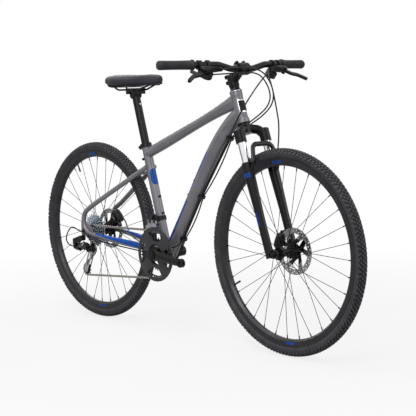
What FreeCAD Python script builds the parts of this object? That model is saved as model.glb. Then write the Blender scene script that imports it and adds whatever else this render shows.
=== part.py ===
"""Hybrid bicycle with a suspension fork, disc brakes and a chain drive.

Millimetres and degrees. X points forward, Y to the rider's left and Z up.
The origin lies on the ground, midway between the two axles.
"""
import FreeCAD, Part
import math
import os

import Sketcher
from FreeCAD import Placement, Rotation, Vector

LAYOUT_SIZES = {
    "wheelbase": 1048.6,
    "chainstay_length": 431.0,
    "bracket_drop": 56.0,
    "seat_angle": 74.1,
    "head_angle": 71.3,
    "fork_rake": 45.0,
    "fork_length": 470.0,
    "front_hub_spacing": 100.0,
    "rear_hub_spacing": 135.0,
    "chain_line": 56.0,
}

FIT_SIZES = {
    "running_gap": 0.05,
    "press_gap": 0.05,
    "seat_gap": 0.3,
    "moving_gap": 0.8,
    "cut_overrun": 4.0,
    "outline_tolerance": 0.0001,
}

FRAME_SIZES = {
    "head_tube_length": 112.0,
    "head_tube_bore": 35.0,
    "head_top_diameter": 43.0,
    "head_waist_diameter": 40.5,
    "head_bottom_diameter": 46.0,
    "head_collar_length": 12.0,
    "head_taper_length": 12.0,
    "seat_tube_length": 416.0,
    "seat_tube_diameter": 34.9,
    "seat_tube_lip": 37.0,
    "seat_tube_lip_length": 6.0,
    "bracket_shell_width": 68.0,
    "bracket_shell_diameter": 43.0,
    "bracket_shell_bore": 35.0,
    "tube_wall": 2.4,
    "top_tube_drop": 33.0,
    "top_tube_head_height": 85.0,
    "top_tube_depth": 35.0,
    "top_tube_width": 36.0,
    "top_tube_head_depth": 60.0,
    "down_tube_head_height": 37.0,
    "down_tube_lead": 15.0,
    "down_tube_bow": 30.0,
    "down_tube_depth": 55.0,
    "down_tube_width": 46.0,
    "down_tube_head_depth": 54.0,
    "bottle_hole": 5.0,
    "bottle_spacing": 64.0,
    "bottle_height": 149.0,
    "bottle_down_height": 157.0,
    "bottle_boss_diameter": 9.0,
    "bottle_boss_height": 1.2,
    "stay_diameter": 19.0,
    "stay_spread": 72.0,
    "stay_bend_radius": 50.5,
    "stay_bend_ahead": 43.8,
    "stay_bend_above": 42.3,
    "seatstay_height": 332.0,
    "seatstay_gather": 19.0,
    "seatstay_straight": 40.0,
    "chainstay_rise": 8.0,
    "chainstay_depth": 28.0,
    "chainstay_width": 17.0,
    "chainstay_root_y": 23.0,
    "chainstay_waist_y": 35.0,
    "chainstay_waist_back": 96.0,
    "chainstay_rear_back": 240.0,
    "chainstay_rear_y": 60.0,
    "bridge_diameter": 14.0,
    "seat_bridge_drop": 52.0,
    "chain_bridge_back": 52.0,
    "dropout_thickness": 7.0,
    "dropout_corner": 9.0,
    "axle_slot": 10.2,
    "hanger_back": 8.0,
    "hanger_down": 27.0,
    "hanger_radius": 9.5,
    "hanger_bore": 9.0,
    "rack_eye_radius": 5.5,
    "rack_eye_hole": 5.0,
    "rack_eye_back": 16.5,
    "rack_eye_up": 21.0,
}

FRAME_SHARES = {
    "down_tube_low_share": 0.14,
    "down_tube_low_bow_share": 0.23,
    "down_tube_mid_share": 0.434,
    "down_tube_mid_bow_share": 0.69,
    "down_tube_bend_share": 0.775,
    "down_tube_high_share": 0.9,
    "down_tube_high_bow_share": 0.66,
    "top_tube_mid_share": 0.55,
    "top_tube_flare_share": 0.84,
    "top_tube_flare_depth_share": 0.3,
}

WHEEL_SIZES = {
    "bead_seat_diameter": 622.0,
    "tyre_height": 40.0,
    "tyre_width": 40.0,
    "tyre_wall": 3.2,
    "tread_thickness": 5.0,
    "tyre_bead": 3.0,
    "rim_depth": 19.0,
    "rim_width": 25.0,
    "rim_inner_width": 19.6,
    "rim_flange": 6.0,
    "rim_well": 3.0,
    "rim_bed": 10.0,
    "rim_shoulder": 7.0,
    "spoke_count": 32,
    "spoke_cross_angle": 67.5,
    "spoke_diameter": 2.0,
    "spoke_lift": 1.0,
    "nipple_diameter": 4.0,
    "nipple_length": 13.0,
    "flange_diameter": 46.0,
    "flange_thickness": 3.0,
    "flange_hole_radius": 20.0,
    "hub_cone": 1.5,
    "hub_body_radius": 12.0,
    "hub_end_radius": 9.5,
    "hub_disc_radius": 26.0,
    "hub_disc_thickness": 4.0,
    "front_right_flange": 33.0,
    "front_left_flange": 23.0,
    "rear_right_flange": 16.5,
    "rear_left_flange": 32.0,
    "rear_hub_right": 20.0,
    "front_rotor_inset": 10.5,
    "rear_rotor_inset": 15.3,
    "rotor_diameter": 160.0,
    "rotor_thickness": 1.8,
    "rotor_bore": 35.0,
    "rotor_arm_count": 6,
    "rotor_window_inner": 29.0,
    "rotor_window_outer": 62.0,
    "rotor_hole_count": 20,
    "rotor_hole_radius": 2.3,
    "rotor_hole_inner": 68.0,
    "rotor_hole_outer": 74.5,
    "axle_diameter": 9.0,
    "axle_nut_radius": 10.0,
    "axle_nut_length": 11.0,
    "axle_lever_length": 52.0,
    "axle_lever_width": 13.0,
    "axle_lever_thickness": 5.0,
    "front_lever_angle": 35.0,
    "rear_lever_angle": -100.0,
}

WHEEL_SHARES = {
    "tyre_side_share": 0.525,
    "tyre_neck_share": 0.325,
    "tyre_neck_width_share": 0.83,
    "rotor_window_lean_share": 0.55,
}

AXLE_SHARES = {
    "axle_nut_taper_share": 0.7,
}

FORK_SIZES = {
    "steerer_diameter": 28.6,
    "cup_flange_diameter": 45.0,
    "cup_flange_thickness": 3.0,
    "cup_depth": 11.0,
    "crown_hub_diameter": 42.0,
    "crown_hub_depth": 36.0,
    "leg_offset": 27.0,
    "leg_spread": 58.0,
    "stanchion_diameter": 28.0,
    "stanchion_wall": 2.5,
    "crown_lobe_diameter": 38.0,
    "crown_lobe_top": 33.0,
    "crown_lobe_bottom": 76.0,
    "crown_lobe_cap": 4.0,
    "crown_arm_diameter": 32.0,
    "crown_arm_bend": 24.0,
    "crown_arm_drop_share": 0.5,
    "fork_travel": 63.0,
    "seal_top": 146.0,
    "seal_height": 8.0,
    "seal_diameter": 36.0,
    "leg_top_diameter": 37.0,
    "leg_end_diameter": 29.0,
    "leg_end": 478.0,
    "leg_bore_depth": 240.0,
    "stanchion_overlap": 150.0,
    "arch_ahead": 60.0,
    "arch_top": 92.0,
    "arch_root": 190.0,
    "arch_depth": 13.0,
    "arch_width": 17.0,
    "arch_corner": 22.0,
    "arch_half_width": 42.0,
    "fork_dropout_thickness": 8.0,
    "fork_dropout_radius": 15.0,
    "hub_clearance_radius": 14.0,
    "caliper_length": 56.0,
    "caliper_depth": 34.0,
    "caliper_width": 38.0,
    "caliper_bracket_radius": 6.0,
    "caliper_bracket_thickness": 9.0,
    "front_bracket_face": 46.0,
    "caliper_post_radius": 5.5,
    "caliper_post_offset": 2.0,
    "caliper_post_high": 392.0,
    "caliper_post_low": 438.0,
    "rear_caliper_foot": 25.0,
    "pad_gap": 0.6,
    "front_caliper_angle": 156.0,
    "rear_caliper_angle": 46.0,
    "caliper_reach": 75.0,
}

COCKPIT_SIZES = {
    "headset_cover_height": 8.0,
    "headset_cover_top": 34.0,
    "spacer_height": 11.0,
    "spacer_diameter": 34.0,
    "top_cap_height": 4.0,
    "stem_height": 38.0,
    "stem_column_diameter": 37.0,
    "stem_reach": 56.0,
    "stem_rise": 24.0,
    "stem_neck_depth": 24.0,
    "stem_neck_drop": 5.0,
    "stem_neck_width": 32.0,
    "stem_clamp_diameter": 43.0,
    "stem_clamp_width": 46.0,
    "faceplate_gap": 1.6,
    "bar_diameter": 22.2,
    "bar_centre_diameter": 31.8,
    "bar_centre_half": 30.0,
    "bar_taper_half": 50.0,
    "bar_rise_half": 108.0,
    "bar_rise": 14.5,
    "bar_half_width": 332.0,
    "bar_sweep_angle": 10.0,
    "bar_bend_radius": 60.0,
    "grip_length": 132.0,
    "grip_diameter": 32.0,
    "grip_collar_diameter": 37.0,
    "grip_collar_length": 5.0,
    "grip_end_thickness": 4.0,
    "lever_tilt_angle": 37.0,
    "lever_place": 183.0,
    "clamp_diameter": 32.0,
    "clamp_width": 13.0,
    "bracket_ahead": 27.0,
    "bracket_length": 76.0,
    "bracket_outboard": 12.0,
    "bracket_fat": 25.0,
    "bracket_thin": 14.0,
    "lever_thickness": 9.0,
    "lever_pin_diameter": 6.0,
    "lever_pivot_out": 4.0,
    "lever_pivot_ahead": 34.0,
    "lever_root_radius": 8.0,
    "lever_blade_radius": 6.0,
    "lever_knuckle_out": 22.0,
    "lever_knuckle_ahead": 55.0,
    "lever_mid_out": 52.0,
    "lever_mid_ahead": 64.0,
    "lever_tip_out": 78.0,
    "lever_tip_ahead": 86.0,
    "shifter_inboard": 33.0,
    "shifter_ahead": 17.0,
    "shifter_below": 28.0,
    "shifter_radius": 20.0,
    "shifter_height": 18.0,
    "shifter_clamp_width": 10.0,
    "thumb_length": 50.0,
    "thumb_root_radius": 9.0,
    "thumb_tip_radius": 7.5,
    "thumb_thickness": 5.0,
    "thumb_angle": 132.0,
}

CHAIN_SIZES = {
    "chain_pitch": 12.7,
    "roller_diameter": 7.75,
    "chain_inner_width": 2.5,
    "chain_plate": 1.0,
    "chain_plate_gap": 0.1,
    "chain_plate_radius": 4.2,
    "chain_waist": 6.0,
    "chain_pin_diameter": 3.6,
    "chain_pin_gap": 0.1,
    "roller_gap": 0.38,
    "tooth_height": 3.0,
    "tooth_tip": 1.2,
    "cog_thickness": 1.8,
    "cog_pitch": 4.8,
    "spool_diameter": 34.4,
    "spacer_ring_diameter": 36.0,
    "lockring_diameter": 36.0,
    "lockring_thickness": 2.4,
    "large_ring_count": 44,
    "small_ring_count": 30,
    "pulley_count": 11,
    "ring_thickness": 2.0,
    "ring_spacing": 8.0,
    "ring_bore_diameter": 76.0,
    "ring_bolt_radius": 46.0,
    "ring_lug_radius": 5.5,
    "ring_window_inner": 54.0,
    "ring_window_outer": 80.0,
    "guard_diameter": 202.0,
    "guard_thickness": 2.6,
    "guard_window_outer": 88.0,
    "spider_count": 4,
    "spider_thickness": 3.0,
    "spider_root_radius": 14.0,
    "spider_tip_radius": 9.0,
}

CRANK_SIZES = {
    "crank_length": 170.0,
    "crank_rest_angle": 4.7,
    "crank_boss_radius": 19.0,
    "crank_boss_length": 20.0,
    "crank_outer": 84.0,
    "left_crank_outer": 74.0,
    "crank_end_radius": 16.0,
    "crank_end_thickness": 14.0,
    "crank_end_outer": 88.0,
    "crank_root_depth": 42.0,
    "crank_waist_depth": 36.0,
    "crank_tip_depth": 29.0,
    "crank_bar_width": 14.0,
    "pedal_thread_diameter": 14.29,
    "spindle_diameter": 17.0,
    "spindle_inset": 4.0,
    "cup_lip_diameter": 41.0,
    "cup_lip_thickness": 4.0,
    "cup_body_depth": 15.0,
}

DERAILLEUR_SIZES = {
    "shift_clamp_height": 422.0,
    "swing_rise": 16.0,
    "shift_clamp_length": 16.0,
    "shift_clamp_wall": 3.2,
    "swing_width": 16.0,
    "swing_radius": 5.0,
    "swing_foot_radius": 4.85,
    "guide_foot_radius": 4.7,
    "swing_ear": 4.2,
    "pivot_pin_diameter": 5.0,
    "swing_out": 40.0,
    "guide_out": 50.0,
    "guide_pivot_drop": 22.0,
    "guide_ear_drop": 15.0,
    "guide_inner_radius": 97.0,
    "guide_outer_low": 103.0,
    "guide_outer_radius": 116.0,
    "guide_plate": 1.2,
    "guide_front_angle": 84.0,
    "guide_rear_angle": 118.0,
    "guide_spacer_radius": 2.0,
    "guide_side_room": 5.4,
    "mech_slant_angle": 38.0,
    "mech_back": 40.5,
    "mech_down": 66.0,
    "mech_out": 72.0,
    "mech_link_length": 50.0,
    "mech_link_angle": 18.0,
    "mech_link_spread": 16.0,
    "mech_link_radius": 5.0,
    "mech_link_height": 16.0,
    "mech_cheek": 4.0,
    "mech_cheek_radius": 6.0,
    "mech_block_length": 18.0,
    "mech_boss_radius": 11.0,
    "mech_boss_outer": 92.0,
    "mech_arm_thickness": 12.0,
    "mech_elbow_back": 15.0,
    "mech_elbow_up": 27.0,
    "mech_elbow_radius": 8.0,
    "guide_pulley_ahead": 24.3,
    "guide_pulley_down": 69.0,
    "cage_length": 94.8,
    "cage_rest_angle": 242.3,
    "cage_angle_search": 30.0,
    "cage_plate": 1.4,
    "cage_inner_room": 4.2,
    "cage_outer_room": 6.0,
    "cage_knuckle_radius": 12.0,
    "cage_knuckle_length": 17.0,
    "cage_top_radius": 13.0,
    "cage_end_radius": 11.0,
    "cage_stub_diameter": 10.0,
    "pulley_hub_diameter": 13.0,
    "pulley_hub_length": 8.0,
}

DRIVE_SHARES = {
    "seat_flare_share": 1.06,
    "cage_slot_share": 0.45,
}

SEAT_SIZES = {
    "seatpost_diameter": 30.9,
    "seatpost_wall": 2.4,
    "seatpost_insert": 110.0,
    "seatpost_top": 604.0,
    "seatpost_head": 613.0,
    "head_barrel_diameter": 28.0,
    "head_barrel_width": 36.0,
    "seat_clamp_height": 15.0,
    "seat_clamp_wall": 3.6,
    "seat_clamp_sink": 9.0,
    "seat_clamp_slot": 3.0,
    "seat_clamp_ear": 11.0,
    "seat_clamp_ear_width": 17.0,
    "seat_clamp_bolt": 6.0,
    "seat_clamp_bolt_length": 30.0,
    "rail_diameter": 7.0,
    "rail_height": 905.0,
    "rail_half_spread": 22.0,
    "rail_bend_radius": 26.0,
    "rail_nose_half_spread": 9.0,
    "rail_tail_half_spread": 33.0,
    "rail_rise": 20.0,
    "saddle_tail": 389.0,
    "saddle_length": 278.0,
    "saddle_width": 150.0,
    "saddle_height": 55.0,
    "shell_thickness": 3.0,
    "shell_overlap": 2.0,
    "socket_length": 26.0,
    "socket_width": 14.0,
    "socket_height": 12.0,
    "cradle_length": 46.0,
    "cradle_width": 58.0,
    "cradle_above": 6.0,
    "cradle_below": 4.0,
}

CABLE_SIZES = {
    "cable_diameter": 5.0,
    "cable_unit": 100.0,
    "cable_offset": 7.0,
    "cable_corner_room": 6.0,
    "cable_spacing": 7.5,
    "guide_length": 12.0,
    "guide_width": 24.0,
    "guide_height": 11.0,
}

SEAT_SHARES = {
    "rail_front_share": 0.6,
    "rail_nose_share": 0.86,
    "rail_rear_share": 0.16,
    "rail_tail_share": 0.06,
    "shell_width_share": 0.8,
    "first_guide_share": 0.55,
    "cord_reach_share": 0.45,
    "cord_volume_share": 0.02,
}

SIZES = {}
for group in (LAYOUT_SIZES, FIT_SIZES, FRAME_SIZES, FRAME_SHARES, WHEEL_SIZES, WHEEL_SHARES, AXLE_SHARES, FORK_SIZES, COCKPIT_SIZES, CHAIN_SIZES, CRANK_SIZES, DERAILLEUR_SIZES, DRIVE_SHARES, SEAT_SIZES, CABLE_SIZES, SEAT_SHARES):
    SIZES.update(group)

RIGHT_ANGLE = 90
FULL_TURN = 360
X_AXIS = Vector(1, 0, 0)
Y_AXIS = Vector(0, 1, 0)
Z_AXIS = Vector(0, 0, 1)

doc = FreeCAD.newDocument("hybrid_bike")
sheet = doc.addObject("Spreadsheet::Sheet", "Sizes")
for row, (alias, number) in enumerate(SIZES.items(), start=1):
    sheet.set(f"A{row}", alias)
    sheet.set(f"B{row}", str(number))
    sheet.setAlias(f"B{row}", alias)
doc.recompute()


class Dim:
    """A size that carries its sheet expression beside its number."""

    def __init__(self, text, number):
        self.text = text
        self.number = number

    def __add__(self, other):
        return Dim(f"({self.text} + {dim(other).text})", self.number + float(other))

    def __sub__(self, other):
        return Dim(f"({self.text} - {dim(other).text})", self.number - float(other))

    def __mul__(self, factor):
        return Dim(f"({self.text} * {dim(factor).text})", self.number * float(factor))

    def __truediv__(self, factor):
        return Dim(f"({self.text} / {dim(factor).text})", self.number / float(factor))

    def __neg__(self):
        return Dim(f"(0 - {self.text})", -self.number)

    def __float__(self):
        return self.number


def dim(value):
    """A Dim as it is, or a plain number as a Dim."""
    return value if isinstance(value, Dim) else Dim(repr(float(value)), float(value))


class Cells:
    """Sheet cells as sizes that can be bound with an expression."""

    def __getattr__(self, alias):
        return Dim(f"Sizes.{alias}", float(sheet.get(alias)))


class Numbers:
    """Sheet cells as plain numbers, for shapes made in code."""

    def __getattr__(self, alias):
        return float(sheet.get(alias))


d = Cells()
v = Numbers()
NODES = []


def node(piece, label):
    """Names a finished sub-part and lists it for writing."""
    piece.Label = label
    NODES.append(piece)
    return piece


def feature(label, shape, place=None):
    """A sub-part whose shape is made in code; its placement follows the shape."""
    piece = doc.addObject("Part::Feature", label)
    piece.Shape = shape
    if place is not None:
        piece.Placement = place.multiply(piece.Placement)
    return piece


def compound(label, pieces):
    """Several separate solids that make one sub-part."""
    group = doc.addObject("Part::Compound", label)
    group.Links = pieces
    return group


def attach(body, role, name):
    """An empty sketch on one of the body's own origin planes."""
    sketch = body.newObject("Sketcher::SketchObject", name)
    plane = next(item for item in body.Origin.OriginFeatures if item.Role == role)
    sketch.AttachmentSupport = (plane, [""])
    sketch.MapMode = "FlatFace"
    return sketch


def hold(sketch, kind, geometry, point, size):
    """Holds one coordinate of a sketch point at a size from the sheet."""
    size = dim(size)
    if size.number == 0:
        axis = -2 if kind == "DistanceX" else -1
        sketch.addConstraint(Sketcher.Constraint("PointOnObject", geometry, point, axis))
        return
    index = sketch.addConstraint(Sketcher.Constraint(kind, -1, 1, geometry, point, size.number))
    sketch.setExpression(f"Constraints[{index}]", size.text)


def outline(sketch, corners):
    """A closed outline of straight runs with every corner held."""
    first = sketch.GeometryCount
    points = [Vector(float(x), float(y), 0) for x, y in corners]
    count = len(points)
    for i in range(count):
        sketch.addGeometry(Part.LineSegment(points[i], points[(i + 1) % count]))
    for i in range(count):
        ahead = first + (i + 1) % count
        sketch.addConstraint(Sketcher.Constraint("Coincident", first + i, 2, ahead, 1))
    for i, (x, y) in enumerate(corners):
        hold(sketch, "DistanceX", first + i, 1, x)
        hold(sketch, "DistanceY", first + i, 1, y)


def circle(sketch, x, y, radius):
    """A circle with its centre and radius held."""
    place = Vector(float(x), float(y), 0)
    index = sketch.addGeometry(Part.Circle(place, Z_AXIS, float(radius)))
    hold(sketch, "DistanceX", index, 3, x)
    hold(sketch, "DistanceY", index, 3, y)
    datum = sketch.addConstraint(Sketcher.Constraint("Radius", index, float(radius)))
    sketch.setExpression(f"Constraints[{datum}]", dim(radius).text)


def turned(label, corners, place):
    """A body turned about its own Z axis from (radius, height) corners."""
    body = doc.addObject("PartDesign::Body", label)
    sketch = attach(body, "XZ_Plane", label + "_profile")
    outline(sketch, corners)
    turn = body.newObject("PartDesign::Revolution", label + "_turn")
    turn.Profile = sketch
    turn.ReferenceAxis = (sketch, ["V_Axis"])
    turn.Angle = FULL_TURN
    body.Placement = place
    return body


def disc(label, radii, thickness, place):
    """A body with concentric circles padded upward: a disc or a ring."""
    body = doc.addObject("PartDesign::Body", label)
    sketch = attach(body, "XY_Plane", label + "_face")
    for radius in radii:
        circle(sketch, 0, 0, radius)
    pad = body.newObject("PartDesign::Pad", label + "_pad")
    pad.Profile = sketch
    pad.setExpression("Length", dim(thickness).text)
    body.Placement = place
    return body


def pocket_ring(body, label, count, draw):
    """Cuts one drawn pocket through a body and repeats it round the Z axis."""
    doc.recompute()
    sketch = attach(body, "XY_Plane", label + "_cut")
    draw(sketch)
    pocket = body.newObject("PartDesign::Pocket", label + "_pocket")
    pocket.Profile = sketch
    pocket.Type = "ThroughAll"
    pocket.Reversed = True
    doc.recompute()
    ring = body.newObject("PartDesign::PolarPattern", label + "_ring")
    ring.Originals = [pocket]
    ring.Axis = (sketch, ["N_Axis"])
    ring.Angle = FULL_TURN
    ring.Occurrences = int(count)
    body.Tip = ring


def unit(vector):
    """The same direction at length one, in a new vector."""
    return Vector(vector).normalize()


def corner_arcs(points, radii, closed):
    """Start, middle and finish of the tangent arc at each corner of a route."""
    arcs = []
    count = len(points)
    for i, corner in enumerate(points):
        inner = closed or 0 < i < count - 1
        if not inner or radii[i] == 0:
            arcs.append((corner, corner, corner))
            continue
        back = unit(points[i - 1] - corner)
        ahead = unit(points[(i + 1) % count] - corner)
        half = back.getAngle(ahead) / 2
        reach = radii[i] / math.tan(half)
        inset = radii[i] / math.sin(half) - radii[i]
        arcs.append((corner + back * reach, corner + unit(back + ahead) * inset, corner + ahead * reach))
    return arcs


def route(points, radii, closed=False):
    """A wire of straight runs joined by tangent arcs."""
    arcs = corner_arcs(points, radii, closed)
    edges = []
    for i, (start, middle, finish) in enumerate(arcs):
        if start.distanceToPoint(finish) > v.outline_tolerance:
            edges.append(Part.Arc(start, middle, finish).toShape())
        if i == len(arcs) - 1 and not closed:
            break
        ahead = arcs[(i + 1) % len(arcs)][0]
        if finish.distanceToPoint(ahead) > v.outline_tolerance:
            edges.append(Part.LineSegment(finish, ahead).toShape())
    return Part.Wire(edges)


def sweep(path, radius):
    """A round bar along a route."""
    first = path.OrderedEdges[0]
    start = first.valueAt(first.FirstParameter)
    heading = first.tangentAt(first.FirstParameter)
    ring = Part.Wire(Part.makeCircle(radius, start, heading))
    return path.makePipeShell([ring], True, False)


def plate(points, radii, thickness, holes=()):
    """A flat piece in the XY plane with rounded corners and round holes (x, y, radius)."""
    face = [route(points, radii, closed=True)]
    for x, y, radius in holes:
        face.append(Part.Wire(Part.makeCircle(radius, Vector(x, y, 0))))
    return Part.Face(face, "Part::FaceMakerBullseye").extrude(Vector(0, 0, thickness))


def taper_bar(start, start_radius, finish, finish_radius, thickness):
    """A flat bar in the XY plane: two round ends joined by tangents."""
    along = finish - start
    length = along.Length
    heading = math.atan2(along.y, along.x)
    lean = math.acos((start_radius - finish_radius) / length)

    def rim(centre, radius, angle):
        return centre + Vector(math.cos(angle), math.sin(angle), 0) * radius

    a1 = rim(start, start_radius, heading + lean)
    a2 = rim(finish, finish_radius, heading + lean)
    b1 = rim(start, start_radius, heading - lean)
    b2 = rim(finish, finish_radius, heading - lean)
    edges = [
        Part.LineSegment(a1, a2).toShape(),
        Part.Arc(a2, rim(finish, finish_radius, heading), b2).toShape(),
        Part.LineSegment(b2, b1).toShape(),
        Part.Arc(b1, rim(start, start_radius, heading + math.pi), a1).toShape(),
    ]
    return Part.Face(Part.Wire(edges)).extrude(Vector(0, 0, thickness))


def oval(centre, heading, up, depth, width):
    """An oval section square to a heading, deep along up and wide across it."""
    normal = unit(heading)
    across = unit(normal.cross(up))
    rise = unit(across.cross(normal))
    a = rise * (depth / 2)
    b = across * (width / 2)
    matrix = FreeCAD.Matrix(
        a.x, b.x, normal.x, centre.x,
        a.y, b.y, normal.y, centre.y,
        a.z, b.z, normal.z, centre.z,
    )
    return Part.Wire(Part.makeCircle(1).transformGeometry(matrix).Edges)


def oval_loft(stations, up, wall=0):
    """A bar or tube through oval sections (centre, heading, depth, width)."""
    body = Part.makeLoft([oval(c, t, up, h, w) for c, t, h, w in stations], True)
    if wall == 0:
        return body
    inside = [oval(c, t, up, h - 2 * wall, w - 2 * wall) for c, t, h, w in stations]
    return body.cut(Part.makeLoft(inside, True))


def headings(points):
    """The heading of a smooth line at each of its points."""
    last = len(points) - 1
    return [points[min(i + 1, last)] - points[max(i - 1, 0)] for i in range(len(points))]


def rod(start, finish, radius):
    """A round bar between two points."""
    along = finish - start
    return Part.makeCylinder(radius, along.Length, start, along)


def largest(shape):
    """The main solid of a cut that also leaves offcuts."""
    return max(shape.Solids, key=lambda solid: solid.Volume)


def mirrored(shape):
    """The same shape on the other side of the bicycle."""
    return shape.mirror(Vector(0, 0, 0), Y_AXIS)


wheel_radius = v.bead_seat_diameter / 2 + v.tyre_height
rear_axle = Vector(-v.wheelbase / 2, 0, wheel_radius)
front_axle = Vector(v.wheelbase / 2, 0, wheel_radius)
bracket = rear_axle + Vector(math.sqrt(v.chainstay_length ** 2 - v.bracket_drop ** 2), 0, -v.bracket_drop)
steer_turn = Rotation(Y_AXIS, v.head_angle - RIGHT_ANGLE)
steer = Placement(front_axle - steer_turn.multVec(Vector(v.fork_rake, 0, -v.fork_length)), steer_turn)
seat = Placement(bracket, Rotation(Y_AXIS, v.seat_angle - RIGHT_ANGLE))
side_turn = Rotation(X_AXIS, -RIGHT_ANGLE)
rear_wheel = Placement(rear_axle, side_turn)
front_wheel = Placement(front_axle, side_turn)
crank = Placement(bracket, side_turn)


def make_front_triangle():
    """Head, top, down and seat tubes and the bracket shell, mitred to each other."""
    bore = d.head_tube_bore / 2
    waist = d.head_waist_diameter / 2
    shoulder = d.head_collar_length + d.head_taper_length
    head = turned("head_tube", [
        (bore, 0),
        (d.head_bottom_diameter / 2, 0),
        (d.head_bottom_diameter / 2, d.head_collar_length),
        (waist, shoulder),
        (waist, d.head_tube_length - shoulder),
        (d.head_top_diameter / 2, d.head_tube_length - d.head_collar_length),
        (d.head_top_diameter / 2, d.head_tube_length),
        (bore, d.head_tube_length),
    ], steer)
    shell = disc(
        "bracket_shell", [d.bracket_shell_diameter / 2, d.bracket_shell_bore / 2], d.bracket_shell_width,
        crank.multiply(Placement(Vector(0, 0, -v.bracket_shell_width / 2), Rotation())))
    seat_bore = d.seatpost_diameter / 2 + d.running_gap
    seat_blank = turned("seat_tube_blank", [
        (seat_bore, 0),
        (d.seat_tube_diameter / 2, 0),
        (d.seat_tube_diameter / 2, d.seat_tube_length - d.seat_tube_lip_length * 2),
        (d.seat_tube_lip / 2, d.seat_tube_length - d.seat_tube_lip_length),
        (d.seat_tube_lip / 2, d.seat_tube_length),
        (seat_bore, d.seat_tube_length),
    ], seat)
    doc.recompute()

    shell_plug = Part.makeCylinder(v.bracket_shell_diameter / 2, v.bracket_shell_width)
    shell_plug.Placement = shell.Placement
    head_plug = Part.makeCylinder(v.head_tube_bore / 2, v.head_tube_length)
    head_plug.Placement = steer
    head_plug = head.Shape.fuse(head_plug)
    seat_plug = Part.makeCylinder(v.seat_tube_diameter / 2, v.seat_tube_length)
    seat_plug.Placement = seat

    seat_bolts = bottle_bosses(seat, v.bottle_height, v.seat_tube_diameter / 2)
    seat_tube = seat_blank.Shape.cut(shell_plug)
    post_room = Part.makeCylinder(v.seatpost_diameter / 2 + v.running_gap, v.seat_tube_length)
    post_room.Placement = seat
    seat_tube = seat_tube.fuse([boss for boss, hole in seat_bolts])
    seat_tube = largest(seat_tube.cut([hole for boss, hole in seat_bolts] + [post_room]))

    top_start = seat.multVec(Vector(0, 0, v.seat_tube_length - v.top_tube_drop))
    top_finish = steer.multVec(Vector(0, 0, v.top_tube_head_height))
    top_run = top_finish - top_start
    flare = v.top_tube_head_depth - v.top_tube_depth
    top_stations = [
        (top_start, top_run, v.top_tube_depth, v.top_tube_width),
        (top_start + top_run * v.top_tube_mid_share, top_run, v.top_tube_depth, v.top_tube_width),
        (top_start + top_run * v.top_tube_flare_share, top_run,
         v.top_tube_depth + flare * v.top_tube_flare_depth_share, v.top_tube_width),
        (top_finish, top_run, v.top_tube_head_depth, v.top_tube_width),
    ]
    top_tube = oval_loft(top_stations, Z_AXIS, v.tube_wall).cut([head_plug, seat_plug])

    down_points = down_tube_line()
    down_stations = down_tube_stations()
    down_blank = oval_loft(down_stations, Z_AXIS, v.tube_wall)
    top_solid = oval_loft(top_stations, Z_AXIS)
    down_tube = largest(down_blank.cut([head_plug, shell_plug, seat_plug, top_solid]))
    along = down_points[2] - down_points[1]
    boss_place = Placement(down_points[1], Rotation(Z_AXIS, along))
    down_bolts = bottle_bosses(boss_place, v.bottle_down_height, v.down_tube_depth / 2, back=True)
    down_tube = largest(down_tube.fuse([boss for boss, hole in down_bolts]).cut([hole for boss, hole in down_bolts]))

    pieces = [
        head,
        feature("top_tube", largest(top_tube)),
        feature("down_tube", down_tube),
        feature("seat_tube", seat_tube),
        shell,
    ]
    return compound("frame_front_triangle", pieces)


def down_tube_line():
    """Centre line of the down tube, from the bracket to the head tube."""
    start = bracket + Vector(v.down_tube_lead, 0, 0)
    finish = steer.multVec(Vector(0, 0, v.down_tube_head_height))
    run = finish - start
    bow = unit(Y_AXIS.cross(run)) * -v.down_tube_bow
    shares = [
        (0, 0),
        (v.down_tube_low_share, v.down_tube_low_bow_share),
        (v.down_tube_mid_share, v.down_tube_mid_bow_share),
        (v.down_tube_bend_share, 1),
        (v.down_tube_high_share, v.down_tube_high_bow_share),
        (1, 0),
    ]
    return [start + run * along + bow * across for along, across in shares]


def down_tube_stations():
    """Oval sections of the down tube, deeper at the head."""
    points = down_tube_line()
    depths = [v.down_tube_depth] * (len(points) - 1) + [v.down_tube_head_depth]
    return [(point, heading, depth, v.down_tube_width)
            for point, heading, depth in zip(points, headings(points), depths)]


def bottle_bosses(place, height, radius, back=False):
    """Two threaded bosses on a tube, each as a boss and its hole."""
    bosses = []
    side = -1 if back else 1
    for step in range(2):
        level = height + step * v.bottle_spacing
        foot = place.multVec(Vector(side * (radius - v.tube_wall), 0, level))
        face = place.multVec(Vector(side * (radius + v.bottle_boss_height), 0, level))
        deep = place.multVec(Vector(side * (radius - v.tube_wall - v.cut_overrun), 0, level))
        boss = rod(foot, face, v.bottle_boss_diameter / 2)
        hole = rod(deep, face + (face - foot), v.bottle_hole / 2)
        bosses.append((boss, hole))
    return bosses


def stay_bend():
    """Centre of the bend where seatstay and chainstay meet, and its two tangent points."""
    centre = rear_axle + Vector(v.stay_bend_ahead, 0, v.stay_bend_above)
    high = seat.multVec(Vector(0, 0, v.seatstay_height))
    front = bracket + Vector(0, 0, v.chainstay_rise)
    return centre, tangent_point(centre, high, -1), tangent_point(centre, front, 1), high, front


def tangent_point(centre, outside, side):
    """Where a line from an outside point touches the stay bend, in the XZ plane."""
    gap = outside - centre
    lean = math.acos(v.stay_bend_radius / gap.Length)
    angle = math.atan2(gap.z, gap.x) - side * lean
    return centre + Vector(math.cos(angle), 0, math.sin(angle)) * v.stay_bend_radius


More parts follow.
